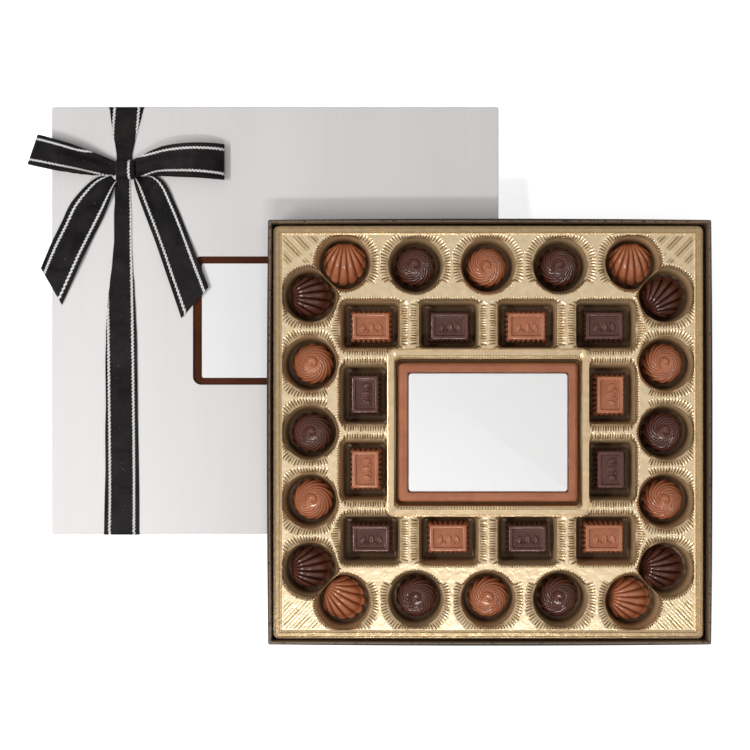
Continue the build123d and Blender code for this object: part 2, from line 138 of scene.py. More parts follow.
# Lid: a shell of grey board wrapped in silver foil paper, brushed along the
# box, with the foil glued over every edge and a window cut through its top.


def new_finish(name, roughness, metallic=0.0):
    """A new material, its node tree and its shader."""
    finish = bpy.data.materials.new(name)
    finish.use_nodes = True
    shader = finish.node_tree.nodes["Principled BSDF"]
    shader.inputs["Roughness"].default_value = roughness
    shader.inputs["Metallic"].default_value = metallic
    return finish, finish.node_tree, shader


def grain(tree, scale, detail=2.0, turn=0.0, distortion=0.0):
    """Noise over the piece, in features a metre: one number, or one for each axis."""
    if not isinstance(scale, tuple):
        scale = (scale, scale, scale)
    place = tree.nodes.new("ShaderNodeTexCoord")
    spread = tree.nodes.new("ShaderNodeMapping")
    spread.inputs["Scale"].default_value = scale
    spread.inputs["Rotation"].default_value = (0, 0, turn)
    noise = tree.nodes.new("ShaderNodeTexNoise")
    noise.inputs["Scale"].default_value = 1.0
    noise.inputs["Detail"].default_value = detail
    noise.inputs["Distortion"].default_value = distortion
    tree.links.new(place.outputs["Object"], spread.inputs["Vector"])
    tree.links.new(spread.outputs["Vector"], noise.inputs["Vector"])
    return noise.outputs["Fac"]


def shades(tree, height, stops):
    """Colours along a height from 0 to 1."""
    ramp = tree.nodes.new("ShaderNodeValToRGB")
    points = ramp.color_ramp.elements
    while len(points) < len(stops):
        points.new(0.5)
    for point, (place, colour) in zip(points, stops):
        point.position = place
        point.color = (*colour, 1)
    tree.links.new(height, ramp.inputs["Fac"])
    return ramp.outputs["Color"]


def blended(tree, way, first, second, share):
    """Two colours mixed; share is a number or a socket."""
    mix = tree.nodes.new("ShaderNodeMix")
    mix.data_type = "RGBA"
    mix.blend_type = way
    if isinstance(share, float):
        mix.inputs["Factor"].default_value = share
    else:
        tree.links.new(share, mix.inputs["Factor"])
    for socket, colour in ((mix.inputs["A"], first), (mix.inputs["B"], second)):
        if isinstance(colour, tuple):
            socket.default_value = (*colour, 1)
        else:
            tree.links.new(colour, socket)
    return mix.outputs["Result"]


def press(tree, shader, height, depth):
    """Bump the surface by a height from 0 to 1, depth metres deep."""
    bump = tree.nodes.new("ShaderNodeBump")
    bump.inputs["Distance"].default_value = depth
    tree.links.new(height, bump.inputs["Height"])
    tree.links.new(bump.outputs["Normal"], shader.inputs["Normal"])


def paint(tree, shader, tone):
    """The finish takes its colour from a socket."""
    tree.links.new(tone, shader.inputs["Base Color"])


def put_on(piece, *finishes):
    """The piece wears these finishes in place of its own."""
    piece.data.materials.clear()
    for finish in finishes:
        piece.data.materials.append(finish)


foil, tree, shader = new_finish("silver_foil_paper", 0.55, 0.16)
brushed = grain(tree, (1500, 9, 40), 3)
streaks = shades(tree, brushed, [(0.25, (0.68, 0.661, 0.653)), (0.75, (0.705, 0.685, 0.677))])
clouds = shades(tree, grain(tree, (16, 3.5, 5), 2), [(0.3, (0.93, 0.93, 0.93)), (0.7, (1, 1, 1))])
paint(tree, shader, blended(tree, "MULTIPLY", streaks, clouds, 1.0))
press(tree, shader, brushed, 0.000006)
put_on(nodes["lid_shell"], foil)


# Card under the window: white board printed with a chocolate brown border,
# embossed so that the border stands round a sunk field, glued to the lid.
def start_block(name, low, high):
    """A block between two corners, in edit mode with nothing selected."""
    bpy.ops.object.select_all(action="DESELECT")
    middle = [(a + b) / 2 for a, b in zip(low, high)]
    bpy.ops.mesh.primitive_cube_add(size=1, location=middle, scale=[b - a for a, b in zip(low, high)])
    piece = bpy.context.object
    piece.name = name
    bpy.ops.object.transform_apply(location=True, rotation=True, scale=True)
    bpy.ops.object.mode_set(mode="EDIT")
    bpy.ops.mesh.select_all(action="DESELECT")
    return piece


def pick_faces(piece, test):
    """Select the faces whose middle and normal pass the test, and no others."""
    bpy.ops.mesh.select_mode(type="FACE")
    bpy.ops.mesh.select_all(action="DESELECT")
    mesh = bmesh.from_edit_mesh(piece.data)
    for face in mesh.faces:
        if test(face.calc_center_median(), face.normal):
            face.select_set(True)
    bmesh.update_edit_mesh(piece.data)


def pick_edges(piece, test):
    """Select the edges whose two ends pass the test, and no others."""
    bpy.ops.mesh.select_mode(type="EDGE")
    bpy.ops.mesh.select_all(action="DESELECT")
    mesh = bmesh.from_edit_mesh(piece.data)
    for edge in mesh.edges:
        if test(edge.verts[0].co, edge.verts[1].co):
            edge.select_set(True)
    bmesh.update_edit_mesh(piece.data)


border_print, tree, shader = new_finish("brown_border_print", 0.55)
wash = grain(tree, 60, 3)
shader.inputs["Specular IOR Level"].default_value = 0.05
paint(tree, shader, shades(tree, wash, [(0.3, (0.05, 0.014, 0.006)), (0.7, (0.085, 0.024, 0.011))]))
press(tree, shader, grain(tree, 2600, 2), 0.00002)
white_print, tree, shader = new_finish("white_field_print", 0.3)
speckle = grain(tree, 900, 2)
paint(tree, shader, shades(tree, speckle, [(0.3, (0.9, 0.897, 0.893)), (0.7, (0.93, 0.927, 0.925))]))
press(tree, shader, speckle, 0.00001)
card_low, card_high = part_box("lid_window_card")
window_card = start_block("window_card", card_low, card_high)
window_card.data.materials.append(border_print)
window_card.data.materials.append(white_print)
pick_faces(window_card, lambda middle, normal: normal.z > 0.5)
bpy.ops.mesh.inset(thickness=9.4 * mm)
bpy.ops.mesh.inset(thickness=3.2 * mm)
bpy.ops.transform.resize(value=(0.979, 1, 1))
card_field = [vert.co.copy() for face in bmesh.from_edit_mesh(window_card.data).faces if face.select
              for vert in face.verts]
pick_edges(window_card, lambda a, b: any((a - c).length < 1e-6 for c in card_field)
           and any((b - c).length < 1e-6 for c in card_field))
bpy.ops.mesh.bevel(affect="VERTICES", offset=2 * mm, segments=6)
pick_faces(window_card, lambda middle, normal: normal.z > 0.5
           and abs(middle.x - (card_low[0] + card_high[0]) / 2) < 1 * mm
           and abs(middle.y - (card_low[1] + card_high[1]) / 2) < 1 * mm)
bpy.ops.mesh.inset(thickness=0.5 * mm)
bpy.ops.transform.translate(value=(0, 0, -0.3 * mm))
bpy.ops.mesh.inset(thickness=0.4 * mm)
bpy.ops.transform.translate(value=(0, 0, 0.15 * mm))
window_card.active_material_index = 1
bpy.ops.object.material_slot_assign()
bpy.ops.object.mode_set(mode="OBJECT")
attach(window_card, "lid")
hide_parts("lid_window_card")

# Ribbon round the lid: charcoal satin, woven with a twisted silver thread near
# each edge, pulled tight, folded under at the knot and glued down at the rim.
cloth_width = 22.2 * mm
cloth = 0.22 * mm
across_steps = 36
fold_bend = 0.5 * mm
fold_drop = 0.55 * mm
deepest_pleat = 2.2 * mm
knot_place = 0.4
photo_pixel = 0.638 * mm
lid_column, lid_row = 275.1, 320.5


def lid_spot(column, row, height=0.0):
    """Where a spot of the photograph, in its pixels, lies on the lid's top."""
    return Vector((lid_x + (column - lid_column) * photo_pixel, lid_y - (row - lid_row) * photo_pixel,
                   lid_high[2] + height * mm))


def smooth_rows(rows, steps):
    """Rows of numbers with evenly curved rows between them."""
    smooth = []
    for i in range(len(rows) - 1):
        before = rows[max(i - 1, 0)]
        after = rows[min(i + 2, len(rows) - 1)]
        for step in range(steps):
            t = step / steps
            smooth.append([0.5 * (2 * b + (c - a) * t + (2 * a - 5 * b + 4 * c - d) * t * t
                                  + (3 * b - a - 3 * c + d) * t * t * t)
                           for a, b, c, d in zip(before, rows[i], rows[i + 1], after)])
    smooth.append(list(rows[-1]))
    return smooth


def bring_in(name, mesh):
    """A new object of this mesh, the only one selected."""
    piece = bpy.data.objects.new(name, mesh)
    bpy.context.collection.objects.link(piece)
    bpy.ops.object.select_all(action="DESELECT")
    bpy.context.view_layer.objects.active = piece
    piece.select_set(True)
    return piece


def thicken(piece, thickness):
    """A sheet gets its thickness, behind its faces."""
    wall = piece.modifiers.new("thickness", "SOLIDIFY")
    wall.thickness = thickness
    wall.offset = -1
    bpy.ops.object.modifier_apply(modifier="thickness")


def lay_ribbon(name, edges, tucked=(0.5, 0.5), until=None, steps=5, pleats=2, returns=False):
    """Ribbon between two edge lines. What the edges leave over of its width is folded
    under, or pleated past where the folds end, which is until. tucked is the first
    edge's share of the folds, before and after the knot. A piece that returns comes
    back to its root."""
    rows = [(Vector(row[:3]), Vector(row[3:6])) for row in smooth_rows(edges, steps)]
    mesh = bpy.data.meshes.new(name)
    spots, faces, sides = [], [], []
    run = 0.0
    for i, (first, second) in enumerate(rows):
        ahead = rows[min(i + 1, len(rows) - 1)]
        behind = rows[max(i - 1, 0)]
        along = (ahead[0] + ahead[1] - behind[0] - behind[1]).normalized()
        across = (second - first).normalized()
        up = along.cross(across).normalized()
        width = (second - first).length
        spare = max(cloth_width - width, 0.0)
        way_out = i / (len(rows) - 1)
        if returns:
            way_out = 1 - abs(1 - 2 * way_out)
        folded = spare if until is None else spare * min(max((until - way_out) / 0.22, 0), 1)
        first_fold = folded * tucked[way_out > knot_place]
        second_fold = folded - first_fold
        depth = min(1.6 * math.sqrt((spare - folded) * width) / (math.pi * pleats), deepest_pleat)
        depth *= max(1 - way_out * 1.15, 0)
        if i:
            run += ((first + second) - (behind[0] + behind[1])).length / 2
        for step in range(across_steps + 1):
            part = step / across_steps
            s = part * cloth_width
            if s < first_fold:
                x, sink = first_fold - s, min((first_fold - s) / fold_bend, 1)
            elif s > cloth_width - second_fold:
                over = s - cloth_width + second_fold
                x, sink = width - over, min(over / fold_bend, 1)
            else:
                x, sink = (s - first_fold) / (cloth_width - folded) * width, 0.0
            spot = first + across * x - up * sink * fold_drop
            spot -= up * depth * (1 - math.cos(2 * math.pi * pleats * x / width)) / 2
            if lid_low[1] < spot.y < lid_high[1]:
                spot.z = max(spot.z, lid_high[2] + cloth + 0.08 * mm)
            spots.append(spot)
            sides.append((part, run / cloth_width))
    wide = across_steps + 1
    for i in range(len(rows) - 1):
        for j in range(across_steps):
            faces.append((i * wide + j, (i + 1) * wide + j, (i + 1) * wide + j + 1, i * wide + j + 1))
    mesh.from_pydata(spots, [], faces)
    cloth_map = mesh.uv_layers.new(name="weave")
    for loop in mesh.loops:
        cloth_map.data[loop.index].uv = sides[loop.vertex_index]
    piece = bring_in(name, mesh)
    thicken(piece, cloth)
    bpy.ops.object.shade_smooth_by_angle(angle=math.radians(50))
    put_on(piece, satin)
    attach(piece, "lid")
    return piece


def taken_apart(tree, vector):
    """The X, Y and Z of a vector."""
    parts = tree.nodes.new("ShaderNodeSeparateXYZ")
    tree.links.new(vector, parts.inputs["Vector"])
    return parts.outputs


def own_map(tree, name):
    """The two ways along a piece's own UV map."""
    spread = tree.nodes.new("ShaderNodeUVMap")
    spread.uv_map = name
    return taken_apart(tree, spread.outputs["UV"])


def reckon(tree, kind, first, second=None):
    """One step of arithmetic on sockets and numbers."""
    step = tree.nodes.new("ShaderNodeMath")
    step.operation = kind
    for socket, value in zip(step.inputs, (first, second)):
        if isinstance(value, (int, float)):
            socket.default_value = value
        elif value is not None:
            tree.links.new(value, socket)
    return step.outputs[0]


def times(tree, first, second):
    """A product of sockets and numbers."""
    return reckon(tree, "MULTIPLY", first, second)


def plus(tree, first, second):
    """A sum of sockets and numbers."""
    return reckon(tree, "ADD", first, second)


satin, tree, shader = new_finish("charcoal_satin", 0.36)
across, along = own_map(tree, "weave")[:2]
thread_off_middle = 0.362
middle_out = reckon(tree, "ABSOLUTE", reckon(tree, "SUBTRACT", across, 0.5))
frayed = grain(tree, 1300, 2)
from_line = reckon(tree, "ABSOLUTE", plus(tree, reckon(tree, "SUBTRACT", middle_out, thread_off_middle),
                                          times(tree, frayed, 0.03)))
twist_place = plus(tree, times(tree, along, 62), times(tree, across, 52))
twist = plus(tree, times(tree, reckon(tree, "SINE", twist_place), 0.5), 0.5)
stitch_edge = plus(tree, times(tree, frayed, 0.038), times(tree, twist, 0.026))
on_line = reckon(tree, "LESS_THAN", from_line, stitch_edge)
thread_height = times(tree, reckon(tree, "SUBTRACT", 1.0, times(tree, from_line, 14.0)),
                      plus(tree, 0.3, times(tree, twist, 0.7)))
ribs = reckon(tree, "SINE", times(tree, along, 300))
threads = reckon(tree, "SINE", times(tree, across, 420))
weave = plus(tree, 0.5, times(tree, plus(tree, ribs, threads), 0.2))
lint = shades(tree, grain(tree, 700, 2), [(0.71, (0, 0, 0)), (0.77, (0.12, 0.11, 0.105))])
# Painted sheen: broad lighter and darker patches over the satin.
painted_sheen_patch = shades(tree, grain(tree, 55, 2, distortion=0.8),
                     [(0.35, (0.25, 0.23, 0.23)), (0.68, (1, 1, 1))])
cloth_tone = shades(tree, weave, [(0.1, (0.006, 0.005, 0.005)), (0.9, (0.03, 0.0255, 0.0252))])
black_cloth = blended(tree, "ADD", blended(tree, "MULTIPLY", cloth_tone, painted_sheen_patch, 1.0), lint, 1.0)
# Painted highlight and painted shade on the twisted thread: bright along its middle and the twists' crests, dark
# at its edges and between twists.
silver_thread_painted_shine = shades(tree, thread_height, [(0.08, (0.16, 0.15, 0.15)), (0.28, (0.6, 0.575, 0.565)),
                                             (0.5, (0.86, 0.84, 0.83))])
paint(tree, shader, blended(tree, "MIX", black_cloth, silver_thread_painted_shine, on_line))
shader.inputs["Sheen Weight"].default_value = 0.03
shader.inputs["Sheen Roughness"].default_value = 0.4
shader.inputs["Specular IOR Level"].default_value = 0.06
creases = times(tree, grain(tree, 90, 2, distortion=0.6), 1.6)
cloth_height = plus(tree, creases, plus(tree, times(tree, weave, 0.25), times(tree, on_line, thread_height)))
press(tree, shader, cloth_height, 0.0003)


def down_wall(columns, y, depths):
    """The ribbon's two edges at some depths below the lid's top, on a wall of the lid."""
    left, right = [lid_spot(column, 0).x for column in columns]
    return [(left, y, lid_high[2] - depth * mm, right, y, lid_high[2] - depth * mm) for depth in depths]


off_wall = 0.3 * mm
band_edges = down_wall((109.1, 144.2), lid_high[1] + off_wall, (27.2, 14, 2.2))
for left, right, row, height in (
        (109.1, 144.2, 107.6, 0.3), (109.6, 143.7, 110, 0.45), (112.2, 138.5, 130, 0.8),
        (116.8, 132.3, 158, 0.95), (116.2, 132.0, 170, 0.95), (115.4, 130.8, 182, 0.95),
        (114.1, 131.6, 215, 0.9), (113.3, 132.2, 250, 0.9), (106.3, 136.5, 320, 0.9),
        (105.5, 138.2, 400, 0.8), (104.9, 139.3, 480, 0.5), (104.1, 139.4, 530, 0.4), (104.1, 139.6, 532.6, 0.3)):
    band_edges.append((*lid_spot(left, row, height), *lid_spot(right, row, height)))
band_edges += down_wall((104.1, 139.6), lid_low[1] - off_wall, (2.2, 14, 27.2))
ribbon_round_lid = lay_ribbon("ribbon_round_lid", band_edges, tucked=(0.5, 0.72), steps=6)
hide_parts("ribbon_band")

# Bow: two loops and two tails of the same ribbon, gathered under a knot that is
# one turn of ribbon folded to half its width. The ends are cut on the slant.
knot_middle = lid_spot(126.7, 170.2)
knot_edges = []
for y, z in ((-5.6, 0.8), (-6.3, 2.8), (-5.2, 5.6), (-2.8, 6.75), (0, 7.1), (2.8, 6.75), (5.2, 5.6), (6.3, 2.8),
             (5.6, 0.8)):
    waist = 6.0 - 0.25 * abs(z - 3.5) / 3.5
    spread = Vector((0, y, z)) * mm + knot_middle
    knot_edges.append((spread.x + waist * mm, spread.y, spread.z, spread.x - waist * mm, spread.y, spread.z))
knot = lay_ribbon("knot", knot_edges, tucked=(0, 0), steps=6)
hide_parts("bow_knot")


def outline_at(outline, along):
    """The two edge spots at a share of the way out, between the nearest two given."""
    for (a, first_a, second_a), (b, first_b, second_b) in zip(outline, outline[1:]):
        if along <= b:
            t = (along - a) / (b - a)
            return [p + (q - p) * t for p, q in zip(first_a + second_a, first_b + second_b)]
    return list(outline[-1][1] + outline[-1][2])


loop_side_view = [(0.0, 4.6), (0.12, 6.2), (0.3, 9.0), (0.5, 10.9), (0.7, 11.2), (0.88, 9.8), (0.975, 7.2),
                  (1.0, 5.2), (0.985, 3.4), (0.9, 1.9), (0.7, 1.2), (0.45, 1.3), (0.2, 2.2), (0.0, 3.0)]
tail_side_view = [(0.0, 2.0), (0.12, 2.3), (0.3, 1.4), (0.5, 1.3), (0.7, 2.2), (0.86, 1.6), (1.0, 0.9)]
left_loop_outline = [(0.0, (116.5, 162.0), (116.5, 176.3)), (0.22, (98.6, 154.7), (98.6, 176.5)),
                     (0.5, (74.7, 146.3), (73.5, 173.7)), (0.75, (56.5, 140.9), (51.5, 169.8)),
                     (1.0, (39.6, 135.8), (29.4, 165.2))]
right_loop_outline = [(0.0, (134.6, 178.4), (134.6, 160.0)), (0.25, (155.9, 176.6), (157.0, 149.9)),
                      (0.57, (186.4, 177.3), (186.4, 145.1)), (0.8, (207.4, 178.4), (207.4, 145.0)),
                      (1.0, (225.4, 180.7), (225.4, 145.6))]
left_tail_outline = [(0.0, (109.5, 174.5), (117.5, 182.0)), (0.12, (93.0, 180.6), (112.9, 195.0)),
                     (0.3, (72.5, 201.5), (104.2, 216.5)), (0.6, (56.0, 234.5), (89.8, 245.0)),
                     (0.8, (47.5, 253.5), (79.0, 268.5)), (1.0, (41.0, 268.4), (62.1, 304.9))]
right_tail_outline = [(0.0, (133.8, 177.5), (141.5, 171.0)), (0.12, (136.2, 189.0), (163.3, 181.2)),
                      (0.3, (144.4, 212.5), (176.5, 206.0)), (0.55, (157.5, 247.0), (189.0, 236.5)),
                      (0.8, (170.5, 285.0), (200.0, 265.0)), (1.0, (181.4, 318.2), (208.7, 287.3))]
for name, outline, side_view, node, length, tucked, until, pleats in (
        ("left_loop", left_loop_outline, loop_side_view, "bow_loop_left", 0.112, 0.66, 0.42, 2),
        ("right_loop", right_loop_outline, loop_side_view, "bow_loop_right", 0.118, 0.6, 0.3, 2),
        ("left_tail", left_tail_outline, tail_side_view, "bow_tail_left", 0.085, 0.5, 0.06, 1),
        ("right_tail", right_tail_outline, tail_side_view, "bow_tail_right", 0.085, 0.5, 0.06, 1)):
    rows = []
    for along, height in side_view:
        spots = outline_at(outline, along)
        rows.append((*lid_spot(spots[0], spots[1], height), *lid_spot(spots[2], spots[3], height)))
    bow_piece = lay_ribbon(name, rows, tucked=(tucked, tucked), until=until, steps=6, pleats=pleats,
                           returns="loop" in name)
    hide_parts(node)

# Base: the lower box of the same board, wrapped in black paper with a fine
# pressed grain, its walls bulging a little and its edges rubbed. Brown paper
# lines the inside.


def own_place(tree):
    """The place of each spot of a piece."""
    place = tree.nodes.new("ShaderNodeTexCoord")
    return taken_apart(tree, place.outputs["Object"])


black_paper, tree, shader = new_finish("black_wrapped_board", 0.34)
base_low, base_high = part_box("base_box")
paper_grain = grain(tree, 1400, 4)
paper_tone = shades(tree, paper_grain, [(0.25, (0.009, 0.007, 0.006)), (0.75, (0.02, 0.0165, 0.0145))])
base_place = own_place(tree)
worn_height = plus(tree, base_place["Z"], times(tree, grain(tree, 500, 3), 0.0006))
rub = reckon(tree, "GREATER_THAN", worn_height, base_high[2] + 0.00036)
lining = shades(tree, paper_grain, [(0.25, (0.16, 0.105, 0.066)), (0.75, (0.22, 0.148, 0.1))])
inside = []
for axis in range(2):
    middle = (base_low[axis] + base_high[axis]) / 2
    off_middle = reckon(tree, "ABSOLUTE", reckon(tree, "SUBTRACT", base_place[axis], middle))
    inside.append(reckon(tree, "LESS_THAN", off_middle, (base_high[axis] - base_low[axis]) / 2 - 0.0012))
lined = blended(tree, "MIX", paper_tone, lining, times(tree, *inside))
paint(tree, shader, blended(tree, "MIX", lined, (0.028, 0.021, 0.017), rub))
shader.inputs["Specular IOR Level"].default_value = 0.25
press(tree, shader, paper_grain, 0.00006)
put_on(nodes["base_box"], black_paper)

# Tray: one sheet of gold metallised film, vacuum formed with a cup for every
# chocolate. Fine flutes run out square from each cup's mouth until they meet
# the next cup's, and stiffening beads run round the rim and the middle cup.
tray_low, tray_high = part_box("gold_tray")
tray_x = (tray_low[0] + tray_high[0]) / 2 / mm
tray_y = (tray_low[1] + tray_high[1]) / 2 / mm
half_length = (tray_high[0] - tray_low[0]) / 2 / mm
half_width = (tray_high[1] - tray_low[1]) / 2 / mm
land = tray_high[2] / mm - 1.0
cup_floor = tray_low[2] / mm + 0.5
rim = 5.6
cup_radius = 17.3
cup_draft = 2.0
flute_pitch = 1.56
round_row_y = half_width - 5.5 - 1.7 - cup_radius
round_column_x = half_length - 5.5 - cup_radius
row_pitch = 45.3
column_pitch = 43
round_cups = [(x, y) for x in (-row_pitch, 0, row_pitch) for y in (-round_row_y, round_row_y)]
round_cups += [(x, y) for y in (-column_pitch, 0, column_pitch) for x in (-round_column_x, round_column_x)]
twin_x, twin_y = 90.6, 86
twin_row_y = round_row_y + 1.5
twin_cups = [((side * twin_x, end * twin_row_y), (side * round_column_x, end * twin_y))
             for side in (-1, 1) for end in (-1, 1)]
long_half, short_half = 18.7, 15.1
flat_cup_y = round_row_y - cup_radius - 4.9 - short_half
upright_cup_x = round_column_x - cup_radius - 1.8 - short_half
block_cups = [(x, y, long_half, short_half)
              for x in (-73.8, -24.6, 24.6, 73.8) for y in (-flat_cup_y, flat_cup_y)]
block_cups += [(x, y, short_half, long_half)
               for x in (-upright_cup_x, upright_cup_x) for y in (-23.8, 23.8)]
flat_cup_count = 8
block_corner = 4.0
bead_half_x, bead_half_y, bead_corner = 63.2, 52.35, 5.0
flute_wave = (1, 0.5, -1, 0.5)
long_flute, between_flute, corner_flute = 6.6, 2.3, 2.2
film = 0.3 * mm


def off_box(x, y, half_x, half_y, corner):
    """How far a spot lies outside a rounded rectangle about the middle."""
    out_x = abs(x) - half_x + corner
    out_y = abs(y) - half_y + corner
    return math.hypot(max(out_x, 0), max(out_y, 0)) + min(max(out_x, out_y), 0) - corner


def off_cups(x, y, own):
    """How far a spot is from the nearest cup mouth but one's own."""
    gaps = [1e3]
    for cup in near_cups[own]:
        if len(cup) == 2:
            gaps.append(math.hypot(x - cup[0], y - cup[1]) - cup_radius)
        else:
            gaps.append(off_box(x - cup[0], y - cup[1], cup[2], cup[3], block_corner))
    return min(gaps)


every_cup = round_cups + [cup for pair in twin_cups for cup in pair] + block_cups
near_cups = {cup: [other for other in every_cup if other != cup
                   and math.hypot(cup[0] - other[0], cup[1] - other[1]) < 62] for cup in every_cup}


def mouth_edge(cup):
    """Spots round a cup's mouth with the way out and the flute's wave at each."""
    edge = []
    if len(cup) == 2:
        flutes = round(2 * math.pi * cup_radius / flute_pitch)
        for step in range(flutes * 4):
            angle = math.pi * step / flutes / 2
            edge.append((cup[0] + cup_radius * math.cos(angle), cup[1] + cup_radius * math.sin(angle),
                         math.cos(angle), math.sin(angle), flute_wave[step % 4]))
        return edge
    run_x = cup[2] - block_corner
    run_y = cup[3] - block_corner
    arc = math.pi * block_corner / 2
    whole = 4 * run_x + 4 * run_y + 4 * arc
    flutes = round(whole / flute_pitch)
    for step in range(flutes * 4):
        place = whole * step / flutes / 4
        for quarter, run in enumerate((2 * run_y, 2 * run_x, 2 * run_y, 2 * run_x)):
            turn = math.pi / 2 * quarter
            if place <= run:
                spot = (run_x, place - run_y) if quarter % 2 == 0 else (run_y, place - run_x)
                spot = (spot[0] + block_corner, spot[1])
                way = (1.0, 0.0)
                break
            place -= run
            if place <= arc:
                bend = place / block_corner
                way = (math.cos(bend), math.sin(bend))
                base_spot = (run_x, run_y) if quarter % 2 == 0 else (run_y, run_x)
                spot = (base_spot[0] + block_corner * way[0], base_spot[1] + block_corner * way[1])
                break
            place -= arc
        c, s = math.cos(turn), math.sin(turn)
        edge.append((cup[0] + spot[0] * c - spot[1] * s, cup[1] + spot[0] * s + spot[1] * c,
                     way[0] * c - way[1] * s, way[0] * s + way[1] * c, flute_wave[step % 4]))
    return edge


def flute_reach(spot, own, longest):
    """How far a flute runs out before it meets another's half of the way, the rim or the bead."""
    x, y, way_x, way_y, _ = spot
    short, far = 0.0, longest
    for _ in range(9):
        t = (short + far) / 2
        at_x, at_y = x + way_x * t, y + way_y * t
        free = (off_cups(at_x, at_y, own) >= t
                and half_length - rim - abs(at_x) > 0.1 and half_width - rim - abs(at_y) > 0.1
                and off_box(at_x, at_y, bead_half_x, bead_half_y, bead_corner) > 0.15)
        if free:
            short = t
        else:
            far = t
    return short


def gather(name, spots, faces, painted_shades):
    """A piece of the tray from its upper side; the film's thickness lies below it."""
    mesh = bpy.data.meshes.new(name)
    mesh.from_pydata([((x + tray_x) * mm, (y + tray_y) * mm, z * mm) for x, y, z in spots], [], faces)
    # The UV map's first number is painted shade and painted highlight: darker in valleys and low places, lighter
    # on crests and beads.
    form = mesh.uv_layers.new(name="form")
    for loop in mesh.loops:
        form.data[loop.index].uv = painted_shades[loop.vertex_index]
    piece = bring_in(name, mesh)
    thicken(piece, film)
    bpy.ops.object.shade_smooth_by_angle(angle=math.radians(40))
    put_on(piece, gold_film)
    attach(piece, "tray")
    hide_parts("gold_tray")


gold_film, tree, shader = new_finish("gold_metallised_film", 0.27, 0.92)
height_in_tray = tree.nodes.new("ShaderNodeMapRange")
height_in_tray.inputs["From Min"].default_value = cup_floor * mm
height_in_tray.inputs["From Max"].default_value = land * mm
tree.links.new(own_place(tree)["Z"], height_in_tray.inputs["Value"])
# Painted shade: the film's colour goes from champagne at the land to olive brown and near black towards the cup
# floors.
film_painted_deep_shade = shades(tree, height_in_tray.outputs["Result"],
                        [(0.0, (0.1, 0.055, 0.027)), (0.2, (0.38, 0.24, 0.12)), (0.5, (0.66, 0.45, 0.25)),
                         (0.86, (0.585, 0.43, 0.258)), (0.97, (0.645, 0.505, 0.328))])
# Painted shade and painted highlight on the flutes, beads and ridges, read from the UV map.
flute_painted_shade = shades(tree, own_map(tree, "form")["X"],
                    [(0.0, (0.2, 0.16, 0.095)), (0.25, (0.62, 0.56, 0.46)), (0.55, (1, 1, 1))])
film_with_painted_shade = blended(tree, "MULTIPLY", film_painted_deep_shade, flute_painted_shade, 1.0)
# Painted shade too: lower in the cups the film is less metallic and less shiny, so it shows darker there.
for socket, deep, high in (("Metallic", 0.12, 0.92), ("Specular IOR Level", 0.15, 0.5)):
    by_height = shades(tree, height_in_tray.outputs["Result"],
                       [(0.7, (deep, deep, deep)), (0.94, (high, high, high))])
    tree.links.new(by_height, shader.inputs[socket])
ripple = grain(tree, 220, 3, distortion=0.6)
film_mottle = shades(tree, ripple, [(0.3, (0.86, 0.85, 0.82)), (0.7, (1, 1, 1))])
paint(tree, shader, blended(tree, "MULTIPLY", film_with_painted_shade, film_mottle, 1.0))
press(tree, shader, ripple, 0.0002)

collar_rows = [(0.0, -1.0, 0.0), (0.12, -0.82, 0.45), (0.35, -0.45, 0.9), (0.65, -0.13, 1.0), (0.92, 0.0, 0.85),
               (1.0, 0.0, 0.7)]
wall_rows = [(0.3, None), (0.6, None), (0.87, None), (2.1, 1.0), (2.6, 0.35), (3.3, 0.08), (4.6, 0.0)]
rows_down = len(collar_rows) + len(wall_rows)
flute_rise = 0.5
uneven = random.Random(7)
land_holes = []


def cut_back(spot, cup, twin):
    """How far inside its mouth a cup ends where it runs into its twin."""
    to_x, to_y = twin[0] - cup[0], twin[1] - cup[1]
    apart = math.hypot(to_x, to_y)
    facing = (spot[2] * to_x + spot[3] * to_y) / apart
    if facing > 0 and apart / 2 / facing < cup_radius:
        return cup_radius - apart / 2 / facing
    return 0.0


def flute_kind(spot, twin):
    """How long a flute may be and how strong: short between two rows and in the corners."""
    x, y, way_x, way_y, _ = spot
    if ((flat_cup_y + 13 < abs(y) < round_row_y - 9 and abs(way_y) > 0.5 and abs(x) < 100)
            or (upright_cup_x + 13 < abs(x) < round_column_x - 9 and abs(way_x) > 0.5 and abs(y) < 52)):
        return between_flute, 0.7
    corner_way = (way_x * math.copysign(1, x) + way_y * math.copysign(1, y)) * 0.707
    if twin and corner_way > 0.35 and abs(x) + abs(y) > 178:
        return corner_flute, 1
    return long_flute, 1


